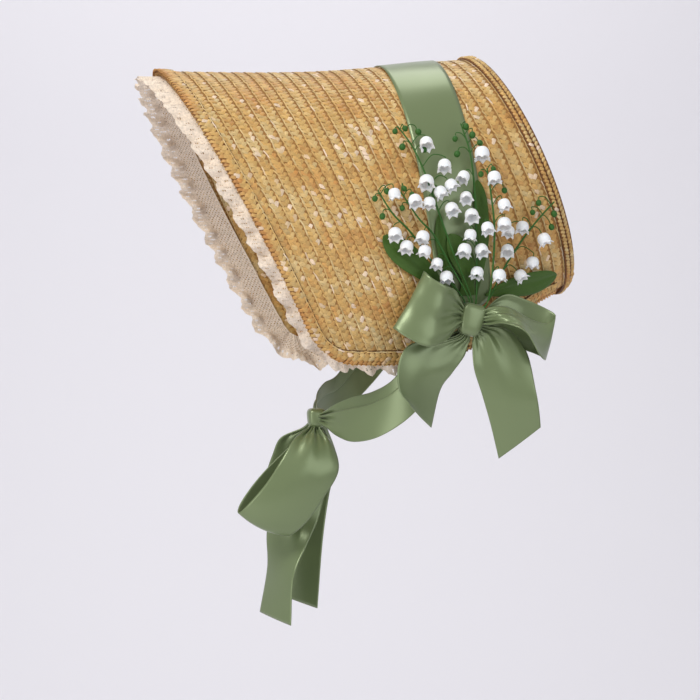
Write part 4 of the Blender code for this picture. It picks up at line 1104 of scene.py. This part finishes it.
def bud_rings():
    """One egg-shaped bud of radius 1 and height 1, hanging down."""
    b, a = np.meshgrid(np.linspace(0.0, math.pi, 9), np.arange(10) * 2 * math.pi / 10, indexing="ij")
    points = np.stack((np.sin(b) * np.cos(a), np.sin(b) * np.sin(a), -0.5 * (1 - np.cos(b))), -1)
    return points.reshape(-1, 3), grid_quads(9, 10, closed=True)[:, ::-1]


def hung(shape, tops, axes, radius, height, random):
    """Copies of a shape hung from points, each turned so that its own -Z runs along its axis."""
    points, quads = shape
    down = unit(axes)
    side = unit(np.cross(down, np.array((0.3, 1.0, 0.2))))
    other = np.cross(down, side)
    spin = random.random(len(tops)) * 2 * math.pi
    u = side * np.cos(spin)[:, None] + other * np.sin(spin)[:, None]
    v = np.cross(-down, u)
    size = 1 + SIZE_VARIES * random.normal(size=(len(tops), 1, 1))
    x, y, z = (points[None, :, i:i + 1] for i in range(3))
    local = (x * u[:, None] + y * v[:, None]) * radius - z * down[:, None] * height
    placed = tops[:, None] + local * size
    faces = quads[None] + (np.arange(len(tops)) * len(points))[:, None, None]
    return placed.reshape(-1, 3), faces.reshape(-1, 4)


class BONNET_OT_flowers(bpy.types.Operator):
    """Makes the leaves, stems, buds and bells of the bunch"""

    bl_idname = "bonnet.flowers"
    bl_label = "Lily of the valley"

    def execute(self, context):
        s = context.scene.bonnet
        random = np.random.default_rng(SEED + 1)
        leaf = material("silk_leaf", 0.5, s.leaf, Specular_IOR_Level=0.3)
        leaf = grained(leaf, 60.0, 0.25, 0.4 * MM, shade=0.16)
        green = material("stem_green", 0.5, s.stem, Specular_IOR_Level=0.3)
        white = material("bell_porcelain", 0.45, s.bell, Subsurface_Weight=0.15)
        for name, (lift, width, foot, midrib) in LEAVES.items():
            self.leaf(name, lift, width, foot, np.array(midrib), leaf)
        bow = skin(*locate(BOW_Y, BOW_Z)) + np.array((BOW_LIFT, 0.0, 0.0))
        for name, row in SPRIGS.items():
            self.sprig(name, row, bow, s, random, green, white)
        return {"FINISHED"}

    @staticmethod
    def leaf(name, lift, width, foot, midrib, surface):
        """Half width w max(0.02 + 0.98 sin(pi t^0.75)^0.8, foot t), creased along the midrib."""
        line = spline(midrib, 49)
        t = np.linspace(0.0, 1.0, 49)
        run = unit(np.gradient(line, axis=0))
        side = np.stack((-run[:, 1], run[:, 0]), -1)
        half = width / 2 * np.maximum(0.02 + 0.98 * np.sin(math.pi * t**0.75) ** 0.8, foot * t)
        across = np.linspace(-1.0, 1.0, 17)
        flat = line[:, None] + side[:, None] * (half[:, None] * across)[..., None]
        fullness = (half / half.max())[:, None]
        crease = 1.4 * MM * (1 - np.exp(-np.abs(across) * 3)) * fullness
        risen = np.minimum(1.0, 3.0 * (1.0 - t))[:, None] * lift * BUNCH_REACH
        wavy = 0.5 * MM * np.sin(t * 7)[:, None] * across
        ribs = 0.10 * MM * np.cos(across * 34) * fullness
        grid = beside_bow(flat[..., 0], flat[..., 1], LEAF_SEAT + risen + crease + wavy + ribs)
        uv = np.stack(np.broadcast_arrays(t[:, None] * 3, across[None] * 12), -1).reshape(-1, 2)
        quads = grid_quads(*grid.shape[:2])
        made = piece(name + "_blade", grid.reshape(-1, 3), quads, surface, "leaf_green", [name], uv=uv)
        wall(made, LEAF_THICK, 0.0)

    @staticmethod
    def sprig(name, row, bow, s, random, green, white):
        """A stem with bells and buds, each hung on a thin stalk that arches over from the stem."""
        stem_lift, bell_lift, root, stem, buds, bells = row
        line = np.array(stem)
        points = beside_bow(line[:, 0], line[:, 1], stem_lift * BUNCH_REACH)
        points = np.vstack((points, bow + np.array((*root, ROOT_HEIGHT)) * RIBBON_WIDTH))
        fine = spline(points, 70)
        hint = np.array((1.0, 0.15, 0.0))
        radius = np.interp(np.linspace(0, 1, len(fine)), (0, 0.5, 0.8, 1), (0.55, 0.85, 0.55, 0.5)) * MM
        greens = [tube(fine, radius, 8, hint)]
        for kind, places, lift, shape, wide, high in (
                ("bells", bells, bell_lift, bell_rings(), s.bell_diameter / 2, s.bell_diameter * 0.98),
                ("buds", buds, stem_lift, bud_rings(), BUD_RADIUS, BUD_HEIGHT)):
            at = np.array(places)
            middle = beside_bow(at[:, 0], at[:, 1], lift * BUNCH_REACH)
            outward = unit(middle - beside_bow(at[:, 0], at[:, 1], 0.0))
            away = unit(middle - fine[np.argmin(np.linalg.norm(middle[:, None] - fine, axis=2), axis=1)])
            astray = 0.20 * random.normal(size=middle.shape)
            axes = np.array((0.0, 0.0, -1.0)) + 0.34 * outward + 0.26 * away + astray
            tops = middle - unit(axes) * high / 2
            for top, axis in zip(tops, unit(axes)):
                gap = np.linalg.norm(fine - top, axis=1) + 0.6 * np.abs(fine[:, 2] - top[2] + 0.5 * high)
                foot = fine[int(np.argmin(gap))]
                reach = np.linalg.norm(top - foot)
                arch = np.array([foot, foot * 0.55 + top * 0.45 + np.array((0, 0, 0.38 * reach)),
                                 top - axis * min(0.35 * reach, 3 * MM), top + axis * 0.4 * MM])
                greens.append(tube(spline(arch, 14), STALK_RADIUS, 6, hint))
            made = hung(shape, tops, axes, wide, high, random)
            if kind == "bells":
                piece(name + "_bells", *made, white, "bell_white", [name])
            else:
                greens.append(made)
        piece(name + "_stems", *joined(greens), green, "leaf_green")


class BONNET_OT_stage(bpy.types.Operator):
    """Makes the floor, the backdrop, the lights and the camera"""

    bl_idname = "bonnet.stage"
    bl_label = "Stage"

    def execute(self, context):
        scene = context.scene
        scene.view_settings.view_transform = "Standard"
        self.backdrop(scene)
        world = bpy.data.worlds.new("studio")
        world.use_nodes = True
        world.node_tree.nodes["Background"].inputs["Color"].default_value = WORLD_COLOUR
        world.node_tree.nodes["Background"].inputs["Strength"].default_value = WORLD_STRENGTH
        scene.world = world
        for name, place, size, power, colour in LAMPS:
            lamp = bpy.data.lights.new(name, "AREA")
            lamp.size = size
            lamp.energy = power
            lamp.color = colour
            target = Vector(WALL_POINT if name == "wall_wash" else LIT_POINT)
            self.placed(scene, name, lamp, place, target - Vector(place))
        back, right = facing(CAMERA_ELEVATION)
        eye = bpy.data.cameras.new("camera")
        eye.sensor_width = 36.0
        eye.lens = eye.sensor_width / 2 * CAMERA_DISTANCE / HALF_FIELD
        aim = right * AIM_RIGHT + np.cross(back, right) * AIM_UP
        scene.camera = self.placed(scene, "camera", eye, aim + back * CAMERA_DISTANCE, Vector(-back))
        return {"FINISHED"}

    @staticmethod
    def placed(scene, name, data, place, look):
        """A lamp or camera at a place, looking along a direction."""
        made = bpy.data.objects.new(name, data)
        made.location = place
        made.rotation_euler = look.to_track_quat("-Z", "Y").to_euler()
        scene.collection.objects.link(made)
        return made

    @staticmethod
    def backdrop(scene):
        """One pale sheet: floor, bend and wall behind the bonnet as the camera sees it."""
        back, right = facing(0.0)
        angle = np.linspace(0.0, math.pi / 2, 24)
        depth = np.concatenate(((-6.0,), WALL_DISTANCE - WALL_BEND * (1.0 - np.sin(angle)), (WALL_DISTANCE,)))
        height = np.concatenate(((0.0,), WALL_BEND * (1.0 - np.cos(angle)), (6.0,))) + FLOOR_Z
        across = right * np.linspace(-7.0, 7.0, 3)[:, None]
        points = across - back * depth[:, None, None] + np.array((0.0, 0.0, 1.0)) * height[:, None, None]
        mesh = bpy.data.meshes.new("backdrop")
        mesh.from_pydata(points.reshape(-1, 3), [], grid_quads(*points.shape[:2]).tolist())
        mesh.shade_smooth()
        mesh.materials.append(material("backdrop_paper", 0.95, scene.bonnet.backdrop))
        floor = bpy.data.objects.new("backdrop", mesh)
        scene.collection.objects.link(floor)


def facing(elevation):
    """Directions from the bonnet to the camera at this elevation, and to the picture's right."""
    turn = CAMERA_AZIMUTH
    flat = math.cos(elevation)
    back = np.array((math.sin(turn) * flat, -math.cos(turn) * flat, math.sin(elevation)))
    return back, np.array((math.cos(turn), math.sin(turn), 0.0))


class BONNET_PT_panel(bpy.types.Panel):
    """Sizes, colours and the steps that make the bonnet"""

    bl_idname = "BONNET_PT_panel"
    bl_label = "Poke bonnet"
    bl_space_type = "VIEW_3D"
    bl_region_type = "UI"
    bl_category = "Bonnet"

    def draw(self, context):
        for name in BonnetSettings.__annotations__:
            self.layout.prop(context.scene.bonnet, name)
        for operator in OPERATORS:
            self.layout.operator(operator.bl_idname)


OPERATORS = (BONNET_OT_straw, BONNET_OT_trims, BONNET_OT_lace, BONNET_OT_ribbons, BONNET_OT_flowers,
             BONNET_OT_stage)
CLASSES = (BonnetSettings, *OPERATORS, BONNET_PT_panel)


def register():
    """Makes the settings, the operators and the panel known to Blender."""
    for each in CLASSES:
        bpy.utils.register_class(each)
    bpy.types.Scene.bonnet = bpy.props.PointerProperty(type=BonnetSettings)


def unregister():
    """Takes them out again."""
    del bpy.types.Scene.bonnet
    for each in reversed(CLASSES):
        bpy.utils.unregister_class(each)


def main():
    """Makes every piece and the stage."""
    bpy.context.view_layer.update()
    register()
    bpy.ops.bonnet.straw()
    bpy.ops.bonnet.trims()
    bpy.ops.bonnet.lace()
    bpy.ops.bonnet.ribbons()
    bpy.ops.bonnet.flowers()
    bpy.ops.bonnet.stage()


if __name__ == "__main__":
    main()
